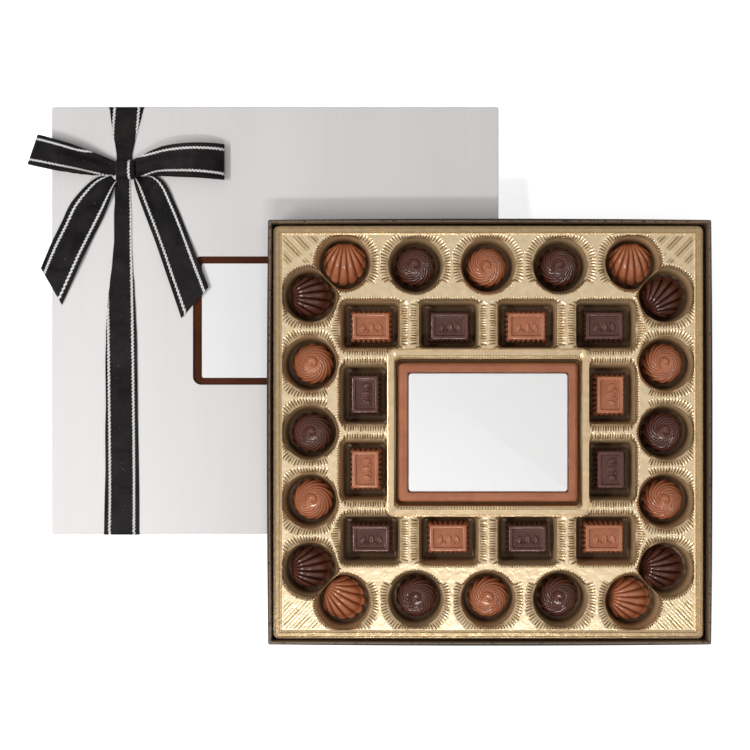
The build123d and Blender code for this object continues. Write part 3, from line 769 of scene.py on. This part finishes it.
def form_cups(name, cups, partner):
    """Cups with their fluted mouths, as one piece of the tray."""
    spots, faces, painted_shades = [], [], []
    for cup in cups:
        edge = mouth_edge(cup)
        first = len(spots)
        count = len(edge)
        hole = []
        open_side = []
        twin = partner.get(cup)
        for step, spot in enumerate(edge):
            x, y, way_x, way_y, wave = spot
            if step % 4 == 0:
                stretch, swell = uneven.uniform(0.84, 1.0), uneven.uniform(0.6, 1.25)
            start = cut_back(spot, cup, twin) if twin else 0.0
            longest, strength = flute_kind(spot, twin)
            reach = 0.0 if start else flute_reach(spot, cup, longest) * stretch
            drop = min(3.3, 0.6 + 0.75 * reach)
            open_side.append(start > 0)
            top = land - drop
            lift = flute_rise * min(reach / 1.5, 1) * swell * strength
            for share, height, depth in reversed(collar_rows):
                spots.append((x + way_x * reach * share, y + way_y * reach * share,
                              land + height * drop + lift * depth * (wave - 1) / 2 * 1.6))
                # Painted highlight on the flute crests, painted shade in their valleys; the walls, floor and the
                # skirt under the land's edge get fixed painted shades below.
                painted_shades.append((0.5 + 0.5 * wave * min(depth * 1.5, 1) * strength, share))
            hole.append((x + way_x * reach * 0.9, y + way_y * reach * 0.9))
            for inset, rise in wall_rows:
                if rise is None:
                    z = top + (cup_floor - top) * inset
                    inset = cup_draft * inset
                else:
                    z = cup_floor + rise
                if inset < start:
                    inset = start
                    z = top + (cup_floor - top) * min(start / cup_draft, 1)
                spots.append((x - way_x * inset, y - way_y * inset, z))
                painted_shades.append((0.6, 0.0))
        skirt = len(spots)
        for step, spot in enumerate(edge):
            outer = spots[first + step * rows_down]
            spots.append((outer[0] + spot[2] * 0.3, outer[1] + spot[3] * 0.3, land - 0.75))
            painted_shades.append((0.2, 1.0))
        middle = len(spots)
        spots.append((cup[0], cup[1], cup_floor + 0.16))
        painted_shades.append((0.6, 0.0))
        for i in range(count):
            j = (i + 1) % count
            a, b = first + i * rows_down, first + j * rows_down
            skip = len(collar_rows) if open_side[i] and open_side[j] else 0
            if not skip:
                faces.append((skirt + i, skirt + j, b, a))
            for row in range(skip, rows_down - 1):
                faces.append((a + row, b + row, b + row + 1, a + row + 1))
            faces.append((a + rows_down - 1, b + rows_down - 1, middle))
        land_holes.append(hole)
    gather(name, spots, faces, painted_shades)


twins = {}
for one, other in twin_cups:
    twins[one] = other
    twins[other] = one
form_cups("tray_round_cups", round_cups, {})
form_cups("tray_twin_cups", list(twins), twins)
form_cups("tray_flat_block_cups", block_cups[:flat_cup_count], {})
form_cups("tray_upright_block_cups", block_cups[flat_cup_count:], {})


def box_loop(half_x, half_y, corner, along_x=1, along_y=1, bends=5):
    """Spots round a rounded rectangle, the same count for every size."""
    loop = []
    for quarter, (sign_x, sign_y) in enumerate(((1, -1), (1, 1), (-1, 1), (-1, -1))):
        middle_x = sign_x * (half_x - corner)
        middle_y = sign_y * (half_y - corner)
        for bend in range(bends + 1):
            angle = math.pi / 2 * (quarter - 1 + bend / bends)
            loop.append((middle_x + corner * math.cos(angle), middle_y + corner * math.sin(angle)))
        side_steps = along_y if quarter % 2 == 0 else along_x
        finish, start = (((half_x, half_y - corner), (half_x, corner - half_y)),
                         ((corner - half_x, half_y), (half_x - corner, half_y)),
                         ((-half_x, corner - half_y), (-half_x, half_y - corner)),
                         ((half_x - corner, -half_y), (corner - half_x, -half_y)))[quarter]
        for step in range(1, side_steps):
            t = step / side_steps
            loop.append((start[0] + (finish[0] - start[0]) * t, start[1] + (finish[1] - start[1]) * t))
    return loop


def form_rings(name, rings, along_x, along_y, bends, closed):
    """A piece of rounded rectangles joined one to the next, the last one filled if closed."""
    spots, faces, painted_shades, loops = [], [], [], []
    for half_x, half_y, corner, z, flute in rings:
        first = len(spots)
        loop = box_loop(half_x, half_y, corner, along_x, along_y, bends)
        for i, (x, y) in enumerate(loop):
            wave = (1, 0, -1, 0)[i % 4]
            spots.append((x, y, z + flute * wave))
            # Painted shade and painted highlight: bead crests and raised parts lighter, the places between and
            # below darker.
            tone = 0.1 + 0.9 * max(wave, 0) if flute else 0.28 + 0.18 * min(max(z - land, 0), 1)
            painted_shades.append((tone, 0.5))
        loops.append((first, len(loop)))
    for (first, count), (second, _) in zip(loops, loops[1:]):
        for i in range(count):
            j = (i + 1) % count
            faces.append((first + i, first + j, second + j, second + i))
    if closed:
        faces.append(tuple(range(loops[-1][0], loops[-1][0] + loops[-1][1])))
    gather(name, spots, faces, painted_shades)


rim_profile = ((0, -4), (0, -0.35), (0.12, -0.1), (0.35, 0), (0.9, 0), (1.1, 0.7), (1.3, 0.95), (1.6, 0.95),
               (1.8, 0.7), (2.0, 0), (3.3, 0), (3.5, 0.7), (3.7, 0.95), (4.0, 0.95), (4.2, 0.7), (4.4, 0),
               (5.4, 0), (5.6, -0.15), (5.7, -0.6))
rim_rings = [(half_length - inset, half_width - inset, max(3.8 - inset, 0.5), land + rise, 0)
             for inset, rise in rim_profile]
form_rings("tray_rim", rim_rings, 1, 1, 6, False)

band_profile = ((-0.1, -0.6), (0, -0.2), (0.12, 0.5), (0.35, 0.9), (0.7, 1.0), (0.9, 0.75), (1.1, 1.0),
                (4.2, 1.0), (4.4, 0.8))
ledge_profile = ((0.0, 0.45, 0.0), (0.08, 0.3, 0.22), (0.24, 0.36, 0.34), (0.4, 0.24, 0.3), (0.5, 0.0, 0.0),
                 (0.62, -1.2, 0.0), (0.76, -2.8, 0.0), (0.9, -5.2, 0.0), (1.0, -8.4, 0.0))
bead_rings = [(bead_half_x - inset, bead_half_y - inset, max(bead_corner - inset, 1.6), land + rise, 0)
              for inset, rise in band_profile]
bead_rings += [(58.6 - 1.6 * share, 47.75 - 3.55 * share, 3.0 + 0.5 * share, land + rise, bead)
               for share, rise, bead in ledge_profile]
bead_rings.append((56.3, 43.6, 3.2, land - 9.0, 0.0))
form_rings("tray_plaque_cup", bead_rings, 252, 204, 16, True)

# Dividers: the low film wall left standing between the two cups of each corner,
# which run into each other. It is beaded where it climbs to the land.
divider_steps = 48
spots, faces, painted_shades = [], [], []
for one, other in twin_cups:
    apart = math.hypot(other[0] - one[0], other[1] - one[1])
    to_x, to_y = (other[0] - one[0]) / apart, (other[1] - one[1]) / apart
    half_run = math.sqrt(cup_radius ** 2 - apart ** 2 / 4) + 0.9
    foot = apart / 2 - 13.9
    first = len(spots)
    for step in range(divider_steps + 1):
        share = step / (divider_steps // 2) - 1
        climb = min(abs(share) ** 2.5 * 1.15, 1)
        bead = 0.45 * climb * (1, 0, -1, 0)[step % 4]
        top = cup_floor + (land - cup_floor) * (0.22 + 0.76 * climb) + bead * 0.8
        side = ((foot, cup_floor + 0.05), (foot * 0.8, cup_floor + 1.6), (foot * 0.5, top - 1.5),
                (foot * 0.25, top - 0.35))
        for off, z in (*((-off, z) for off, z in side), (0, top), *reversed(side)):
            spots.append(((one[0] + other[0]) / 2 + to_x * off - to_y * share * half_run,
                          (one[1] + other[1]) / 2 + to_y * off + to_x * share * half_run, z))
            # Painted shade: the divider darker low in the cups, with painted highlight on its beads.
            painted_shades.append((0.25 + 0.6 * climb + bead, 0.5))
    for step in range(divider_steps):
        for j in range(8):
            a = first + step * 9 + j
            faces.append((a, a + 9, a + 10, a + 1))
gather("tray_dividers", spots, faces, painted_shades)

# Land: the level film between the cups, the rim and the middle cup, with
# straight ridges pressed across its four corners.
outer_loop = box_loop(half_length - rim, half_width - rim, 0.5, 1, 1, 3)
bead_loop = box_loop(bead_half_x, bead_half_y, bead_corner, 1, 1, 8)
loops = [outer_loop, bead_loop] + land_holes
points, outlines = [], []
for loop in loops:
    outlines.append(list(range(len(points), len(points) + len(loop))))
    points += [Vector(spot) for spot in loop]
ridge_pitch = 2.0
ridge_rise = 0.09
for side_x in (-1, 1):
    for side_y in (-1, 1):
        for i in range(-54, 90):
            for j in range(34):
                along, out = i * ridge_pitch / 4, 134 + j * 1.35
                x, y = along * 0.72 + out * 0.69, out * 0.72 - along * 0.69
                clear = min(math.hypot(x - cup[0], y - cup[1]) for cup in twins) - cup_radius
                if 80 < x < half_length - rim - 0.4 and 76 < y < half_width - rim - 0.4 and clear > 2.4:
                    points.append(Vector((side_x * x, side_y * y)))
flat_spots, _, flat_faces, _, _, came_from = delaunay_2d_cdt(points, [], outlines, 1, 1e-4)
spots, painted_shades = [], []
for spot in flat_spots:
    x, y = abs(spot.x), abs(spot.y)
    along, out = x * 0.72 - y * 0.69, x * 0.69 + y * 0.72
    ridged = 0.0
    if out > 134 and x > 80 and y > 76:
        clear = min(math.hypot(x - cup[0], y - cup[1]) for cup in twins) - cup_radius
        edge_gap = min(half_length - rim - x, half_width - rim - y)
        ridged = min(max((clear - 2.3) / 0.6, 0), 1) * min(max(edge_gap - 0.2, 0), 1)
        ridged *= min(abs(out - 158 - 0.12 * along) / 2.5 + 0.1, 1) * (0.7 + 0.3 * math.sin(along * 0.9))
    wave = math.cos(2 * math.pi * along / ridge_pitch)
    spots.append((spot.x, spot.y, land - 0.3 + ridge_rise * ridged * wave))
    # Painted shade in the valleys between the corner ridges.
    painted_shades.append((0.72 - 0.3 * ridged - 0.2 * ridged * (1 - wave), 0.5))
faces = [tuple(face) for face, source in zip(flat_faces, came_from) if list(source) == [0]]
gather("tray_land", spots, faces, painted_shades)

# Plaque: a moulded milk chocolate slab with a bevelled frame and a white field,
# a separate white chocolate slab set into it, left bare.


def sprinkle(tree, shader, size, depth):
    """The faint unevenness of moulded chocolate."""
    press(tree, shader, blended(tree, "MIX", grain(tree, size, 2), grain(tree, size * 7, 2), 0.3), depth)


def melt(name, roughness, pale, deep):
    """A moulded chocolate's finish, with painted shade where the groove attribute says so."""
    finish, tree, shader = new_finish(name, roughness)
    tone = shades(tree, grain(tree, 90, 3, distortion=0.4), [(0.3, deep), (0.7, pale)])
    groove = tree.nodes.new("ShaderNodeAttribute")
    groove.attribute_name = "groove"
    shadow = shades(tree, groove.outputs["Fac"],
                    [(0.0, (1, 1, 1)), (0.5, (0.74, 0.68, 0.65)), (1.0, (0.34, 0.27, 0.24))])
    paint(tree, shader, blended(tree, "MULTIPLY", tone, shadow, 1.0))
    shader.inputs["Specular IOR Level"].default_value = 0.36
    sprinkle(tree, shader, 260, 0.00012)
    return finish, shader


milk_chocolate, shader = melt("milk_chocolate", 0.13, (0.49, 0.18, 0.086), (0.39, 0.134, 0.061))
shader.inputs["Subsurface Weight"].default_value = 0.05
shader.inputs["Subsurface Radius"].default_value = (0.003, 0.0012, 0.0006)
dark_chocolate, _ = melt("dark_chocolate", 0.12, (0.12, 0.04, 0.026), (0.078, 0.025, 0.016))
white_chocolate, tree, shader = new_finish("white_chocolate", 0.62)
paint(tree, shader, shades(tree, grain(tree, 120, 3), [(0.3, (0.95, 0.942, 0.938)), (0.7, (0.97, 0.964, 0.96))]))
sprinkle(tree, shader, 300, 0.00005)


def ringed_mesh(name, rings, crown=None):
    """A closed piece of rings from the foot up, the last closed to its crown."""
    mesh = bpy.data.meshes.new(name)
    count = len(rings[0])
    spots = [spot for ring in rings for spot in ring]
    faces = [tuple(reversed(range(count)))]
    for row in range(len(rings) - 1):
        for i in range(count):
            j = (i + 1) % count
            faces.append((row * count + i, row * count + j, (row + 1) * count + j, (row + 1) * count + i))
    last = (len(rings) - 1) * count
    if crown:
        spots.append(crown)
        faces += [(last + i, last + (i + 1) % count, len(spots) - 1) for i in range(count)]
    else:
        faces.append(tuple(range(last, last + count)))
    mesh.from_pydata([Vector(spot[:3]) * mm for spot in spots], [], faces)
    # The groove attribute holds painted shade: each spot's fourth number, or none.
    depths = mesh.attributes.new("groove", "FLOAT", "POINT")
    for i, spot in enumerate(spots):
        depths.data[i].value = spot[3] if len(spot) > 3 else 0.0
    return mesh


plaque_low, plaque_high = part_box("plaque")
plaque_x = (plaque_low[0] + plaque_high[0]) / 2 / mm
plaque_y = (plaque_low[1] + plaque_high[1]) / 2 / mm
slab_half_x, slab_half_y = 56, 43.2
slab_rings = []
for inset, corner, height, shadow in ((0.4, 2.4, 0.0, 0.5), (0.0, 2.8, 0.4, 0.5), (0.0, 2.8, 6.35, 0.25),
                                      (0.12, 2.7, 6.6, 0.1), (0.3, 2.5, 6.8, 0.0), (1.35, 1.6, 7.8, 0.0),
                                      (1.55, 1.5, 7.95, 0.3), (1.8, 1.4, 8.0, 0.12), (4.7, 1.2, 8.0, 0.08),
                                      (5.2, 1.2, 8.0, 0.35), (5.6, 1.2, 7.93, 0.7), (5.8, 1.2, 7.7, 0.9),
                                      (6.05, 1.2, 6.5, 1.0), (6.15, 1.2, 6.4, 1.0)):
    slab_rings.append([(plaque_x + x, plaque_y + y, plaque_low[2] / mm + height, shadow)
                       for x, y in box_loop(slab_half_x - inset, slab_half_y - inset, corner, 14, 11, 6)])
slab = bring_in("plaque_slab", ringed_mesh("plaque_slab", slab_rings))
bpy.ops.object.shade_smooth_by_angle(angle=math.radians(40))
put_on(slab, milk_chocolate)
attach(slab, "plaque")
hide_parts("plaque")

inlay_low, inlay_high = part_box("plaque_inlay")
inlay_gap = (0.35 * mm, 0.35 * mm, 0)
inlay = start_block("white_inlay", [low + gap for low, gap in zip(inlay_low, inlay_gap)],
                    [high - gap for high, gap in zip(inlay_high, inlay_gap)])
pick_edges(inlay, lambda a, b: abs(a.z - b.z) > 0.5 * mm)
bpy.ops.mesh.bevel(offset=2.0 * mm, segments=6)
pick_faces(inlay, lambda middle, normal: normal.z > 0.9)
bpy.ops.mesh.bevel(offset=0.3 * mm, segments=3)
bpy.ops.object.mode_set(mode="OBJECT")
bpy.ops.object.shade_smooth_by_angle(angle=math.radians(35))
put_on(inlay, white_chocolate)
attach(inlay, "plaque")
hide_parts("plaque_inlay")

# Swirls: round moulded chocolates, 12 lobes at the foot that wind up in fine
# flutes to a low crown with a curl on it, six of milk and six of dark chocolate.


def set_sweet(node, master, x, y, turn):
    """A copy of a moulded chocolate, turned and set down in its cup."""
    mesh = master.copy()
    c, s = math.cos(math.radians(turn)), math.sin(math.radians(turn))
    for vert in mesh.vertices:
        a, b, z = vert.co
        vert.co = (x * mm + a * c - b * s, y * mm + a * s + b * c, z + sweet_foot)
    piece = bring_in(node + "_sweet", mesh)
    bpy.ops.object.shade_smooth_by_angle(angle=math.radians(45))
    milk = node.startswith("milk")
    put_on(piece, milk_chocolate if milk else dark_chocolate)
    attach(piece, node)
    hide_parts(node)


sweet_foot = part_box("dark_swirl_left")[0][2]
swirl_radius = 13.3
swirl_lobes = 12
swirl_steps = 176
swirl_profile = [(13.25, 0.0), (13.3, 0.5), (13.2, 1.4), (13.0, 2.6), (12.75, 3.8), (12.45, 5.0), (12.1, 6.2),
                 (11.65, 7.3), (11.1, 8.4), (10.5, 9.4), (9.8, 10.3), (9.05, 11.05), (8.3, 11.65), (7.55, 12.15),
                 (6.8, 12.55), (6.05, 12.9), (5.35, 13.15), (4.7, 13.35), (4.1, 13.5), (3.5, 13.6), (2.9, 13.65),
                 (2.3, 13.65), (1.7, 13.6), (1.1, 13.55), (0.5, 13.5)]
swirl_rings = []
swirl_rows = smooth_rows(swirl_profile, 3)
for row, (reach, height) in enumerate(swirl_rows):
    below = swirl_rows[max(row - 1, 0)]
    above = swirl_rows[min(row + 1, len(swirl_rows) - 1)]
    slant = math.atan2(above[1] - below[1], below[0] - above[0])
    inner = 1 - reach / swirl_radius
    wind = math.radians(120) * (max(inner, 0) / 0.58) ** 1.15
    lobe = 2.3 * max(0, 1 - inner * 2.6)
    flute = min(1, 0.3 + inner * 5) * min(max((reach - 4.6) / 2.2, 0), 1)
    ring = []
    for step in range(swirl_steps):
        angle = 2 * math.pi * step / swirl_steps
        wave = (swirl_lobes * (angle - wind) / (2 * math.pi)) % 1
        jag = 1 - math.sin(math.pi * wave) ** 0.6
        crease = math.exp(-(min(wave, 1 - wave) / 0.13) ** 2) + 0.55 * math.exp(-((wave - 0.46) / 0.09) ** 2)
        dip = lobe * jag + flute * (0.45 * crease + 0.5 * (1 - math.sin(math.pi * wave)))
        r = reach - dip * math.sin(slant)
        z = height - dip * math.cos(slant) if height > 1 else height
        curl_turn = (angle - math.radians(200)) % (2 * math.pi) / (2 * math.pi)
        curl_at = 0.9 + 3.9 * curl_turn
        curl = 1.7 * math.exp(-((r - curl_at) / 0.75) ** 2)
        curl *= min(1, curl_turn * 5) * min(1, (1 - curl_turn) * 7)
        # The fourth number is painted shade: in the creases, between the lobes and low on the sides.
        ring.append((r * math.cos(angle), r * math.sin(angle), z + (curl if height > 9 else 0),
                     min(crease * flute * 0.7 + jag * lobe * 0.7 + 0.45 * max(1 - height / 7, 0), 1)))
    swirl_rings.append(ring)
swirl_master = ringed_mesh("swirl_mould", swirl_rings, (0, 0, 13.5))
swirl_play = cup_radius - cup_draft - swirl_radius
for node, x, y, slide_x, slide_y, turn in (
        ("dark_swirl_back_left", -row_pitch, round_row_y, -0.3, -0.1, 20),
        ("milk_swirl_back", 0, round_row_y, -0.4, -0.3, 75),
        ("dark_swirl_back_right", row_pitch, round_row_y, -0.2, -0.2, 50),
        ("milk_swirl_left_back", -round_column_x, column_pitch, 0.6, 0.1, 10),
        ("dark_swirl_left", -round_column_x, 0, 0.3, -0.2, 40),
        ("milk_swirl_left_front", -round_column_x, -column_pitch, 0.5, 0.2, 25),
        ("milk_swirl_right_back", round_column_x, column_pitch, -0.4, 0.2, 65),
        ("dark_swirl_right", round_column_x, 0, -0.5, 0.1, 5),
        ("milk_swirl_right_front", round_column_x, -column_pitch, -0.4, 0.1, 35),
        ("dark_swirl_front_left", -row_pitch, -round_row_y, 0.2, 0.3, 60),
        ("milk_swirl_front", 0, -round_row_y, 0.1, 0.2, 15),
        ("dark_swirl_front_right", row_pitch, -round_row_y, -0.3, 0.4, 30)):
    set_sweet(node, swirl_master, tray_x + x + swirl_play * slide_x, tray_y + y + swirl_play * slide_y, turn)

# Shells: scallops with nine round ribs that fan from a short straight hinge,
# in pairs in the corners, one of milk and one of dark chocolate.
shell_rows = [(0.0, 0.12), (0.01, 0.34), (0.04, 0.56), (0.09, 0.74), (0.16, 0.87), (0.25, 0.96), (0.35, 1.0),
              (0.45, 1.0), (0.55, 0.96), (0.64, 0.89), (0.72, 0.8), (0.79, 0.69), (0.84, 0.58), (0.88, 0.46),
              (0.9, 0.38), (0.94, 0.34), (0.975, 0.3), (0.995, 0.2), (1.0, 0.12)]
shell_ribs = 9
shell_radius = 13.5
shell_height = 11.0
shell_steps = 126


def shell_edge(part):
    """The scallop's outline at a share of the way round its fan, and the fan's angle."""
    angle = math.radians(75) * (2 * part - 1)
    groove = 1.3 * (1 - abs(math.sin(math.pi * shell_ribs * part)) ** 0.6)
    across = 10 * math.sin(angle)
    out = 10 * math.cos(angle) + math.sqrt(shell_radius ** 2 - across ** 2) - groove
    return out * math.cos(angle), out * math.sin(angle), angle


mesh = bmesh.new()
groove_shade_layer = mesh.verts.layers.float.new("groove")
grid = []
for share, rise in shell_rows:
    row = []
    for step in range(shell_steps + 1):
        part = step / shell_steps
        edge_out, edge_across, angle = shell_edge(part)
        hinge_across = 4.5 * (2 * part - 1)
        side = abs(2 * part - 1)
        rib = min(abs(math.sin(math.pi * shell_ribs * part)) ** 0.6 * 1.12, 1)
        z = shell_height * (0.12 + (rise - 0.12) * (1 - side ** 5))
        z += (rib - 0.75) * 2.3 * min(1, 0.2 + share * 1.6) * (1 - side ** 8) * min(1, max(rise - 0.14, 0) * 2.4)
        row.append(mesh.verts.new(((edge_out * share - 11.75) * 1.13,
                                   hinge_across * (1 - share) + edge_across * share, z)))
        # Painted shade between the ribs and low near the shell's edge.
        row[-1][groove_shade_layer] = min((1 - rib) * min(1, share * 3) * 0.5 + 0.5 * max(0.75 - rise, 0), 1)
    grid.append(row)
for first, second in zip(grid, grid[1:]):
    for i in range(shell_steps):
        mesh.faces.new((first[i], second[i], second[i + 1], first[i + 1]))
rim_spots = (grid[-1] + [row[-1] for row in reversed(grid[1:-1])]
             + grid[0][::-1] + [row[0] for row in grid[1:-1]])
foot_spots = [mesh.verts.new((vert.co.x, vert.co.y, 0)) for vert in rim_spots]
for i in range(len(rim_spots)):
    j = (i + 1) % len(rim_spots)
    mesh.faces.new((rim_spots[j], rim_spots[i], foot_spots[i], foot_spots[j]))
mesh.faces.new(foot_spots)
bmesh.ops.recalc_face_normals(mesh, faces=mesh.faces)
for vert in mesh.verts:
    vert.co *= mm
shell_master = bpy.data.meshes.new("shell_mould")
mesh.to_mesh(shell_master)
mesh.free()
shell_play = cup_radius - cup_draft - shell_radius
for node, x, y, slide_x, slide_y, turn in (
        ("milk_shell_back_left", -twin_x, twin_row_y, 0.0, -0.1, -92),
        ("dark_shell_left_back", -round_column_x, twin_y, 0.2, 0.1, 2),
        ("milk_shell_back_right", twin_x, twin_row_y, -0.1, -0.1, -88),
        ("dark_shell_right_back", round_column_x, twin_y, -0.1, 0.1, 42),
        ("dark_shell_left_front", -round_column_x, -twin_y, 0.3, 0.2, 4),
        ("milk_shell_front_left", -twin_x, -twin_row_y, 0.1, 0.1, -36),
        ("milk_shell_front_right", twin_x, -twin_row_y, -0.1, 0.2, -8),
        ("dark_shell_right_front", round_column_x, -twin_y, -0.3, 0.1, 0)):
    set_sweet(node, shell_master, tray_x + x + shell_play * slide_x, tray_y + y + shell_play * slide_y, turn)

# Blocks: rectangular moulded chocolates whose fluted sides flare to the foot,
# with a thin raised border round a sunk panel that has five leaves on it.


def fluted_loop(half_x, half_y, depth):
    """A rectangle's edge as round flutes with sharp grooves between, 8 and 6 to a side."""
    loop = []
    corners = [(-half_x, -half_y), (half_x, -half_y), (half_x, half_y), (-half_x, half_y)]
    for side, flutes in enumerate((8, 6, 8, 6)):
        (ax, ay), (bx, by) = corners[side], corners[(side + 1) % 4]
        length = math.hypot(bx - ax, by - ay)
        for step in range(flutes * 8):
            t = step / flutes / 8
            sunk = 1 - abs(math.sin(math.pi * flutes * t)) ** 0.6
            near_end = min(t, 1 - t) * length
            dip = depth * sunk + max(0, 0.8 - near_end) * 0.6
            slip = 0 if step else dip
            loop.append((ax + (bx - ax) * (t + slip / length) - (by - ay) / length * dip,
                         ay + (by - ay) * (t + slip / length) + (bx - ax) / length * dip, sunk))
    return loop


panel_height = 11.1
block_rings = []
for half_x, half_y, depth, z in ((13.3, 10.3, 0.8, 0.0), (13.5, 10.5, 0.85, 0.4), (13.4, 10.4, 1.0, 2.2),
                                 (13.0, 9.9, 1.15, 5.4), (12.5, 9.3, 1.1, 8.6), (12.0, 8.8, 0.9, 10.6),
                                 (11.75, 8.5, 0.45, 11.3), (11.6, 8.3, 0.1, 11.6), (11.5, 8.2, 0.0, 11.9),
                                 (11.3, 8.0, 0.0, 12.35), (10.9, 7.6, 0.0, 12.5), (9.7, 6.4, 0.0, 12.5),
                                 (9.4, 6.1, 0.0, 12.3), (9.15, 5.85, 0.0, 11.4), (8.8, 5.5, 0.0, 11.1),
                                 (8.6, 5.3, 0.0, 11.1)):
    # Painted shade in the flutes' grooves, low on the sides and in the sunk panel.
    shadow = 0.4 * max(1 - z / 10, 0) + 0.3 * (half_x < 9.2)
    block_rings.append([(x, y, z, min(sunk * min(depth, 1) + shadow, 1))
                        for x, y, sunk in fluted_loop(half_x, half_y, depth)])
block_body = ringed_mesh("block_mould", block_rings, (0, 0, panel_height))
mesh = bmesh.new()
mesh.from_mesh(block_body)
for leaf_x, leaf_y, leaf_turn, leaf_size in ((-5.2, -1.0, 70, 1.0), (0.2, -0.4, 96, 1.1), (5.3, -0.8, 112, 1.0),
                                             (-2.7, -3.0, 20, 0.6), (2.9, -3.0, 160, 0.6)):
    leaf = bmesh.ops.create_uvsphere(mesh, u_segments=24, v_segments=12, radius=1 * mm)["verts"]
    c, s = math.cos(math.radians(leaf_turn)), math.sin(math.radians(leaf_turn))
    for vert in leaf:
        a, b, z = vert.co / mm
        narrow = max(1 - abs(a) ** 2 * 0.5, 0.15)
        vein = 0.4 * math.exp(-(b / 0.25) ** 2)
        a, b, z = a * 3.3 * leaf_size, b * 1.9 * narrow * leaf_size, (z - vein * (z > 0)) * 1.4
        vert.co = Vector((leaf_x + a * c - b * s, leaf_y + a * s + b * c, panel_height + z)) * mm
block_master = bpy.data.meshes.new("block_mould_leafed")
mesh.to_mesh(block_master)
mesh.free()
block_row_pitch, block_column_pitch = 49.2, 47.6
block_play_long, block_play_wide = 3.2, 2.6
for node, across, along, slide_x, slide_y, upright in (
        ("milk_block_back_left", -1.5, 1, 0.1, -0.3, False),
        ("dark_block_back_left", -0.5, 1, 0.2, -0.3, False),
        ("milk_block_back_right", 0.5, 1, -0.1, -0.3, False),
        ("dark_block_back_right", 1.5, 1, -0.2, -0.2, False),
        ("dark_block_front_left", -1.5, -1, 0.1, 0.2, False),
        ("milk_block_front_left", -0.5, -1, -0.1, 0.3, False),
        ("dark_block_front_right", 0.5, -1, 0.1, 0.2, False),
        ("milk_block_front_right", 1.5, -1, -0.2, 0.3, False),
        ("dark_block_left", -1, 0.5, 0.1, 0.0, True),
        ("milk_block_left", -1, -0.5, 0.2, 0.1, True),
        ("milk_block_right", 1, 0.5, -0.2, -0.1, True),
        ("dark_block_right", 1, -0.5, -0.1, 0.1, True)):
    if upright:
        x = tray_x + across * upright_cup_x + block_play_wide * slide_x
        y = tray_y + along * block_column_pitch + block_play_long * slide_y
    else:
        x = tray_x + across * block_row_pitch + block_play_long * slide_x
        y = tray_y + along * flat_cup_y + block_play_wide * slide_y
    set_sweet(node, block_master, x, y, 90 if upright else 0)
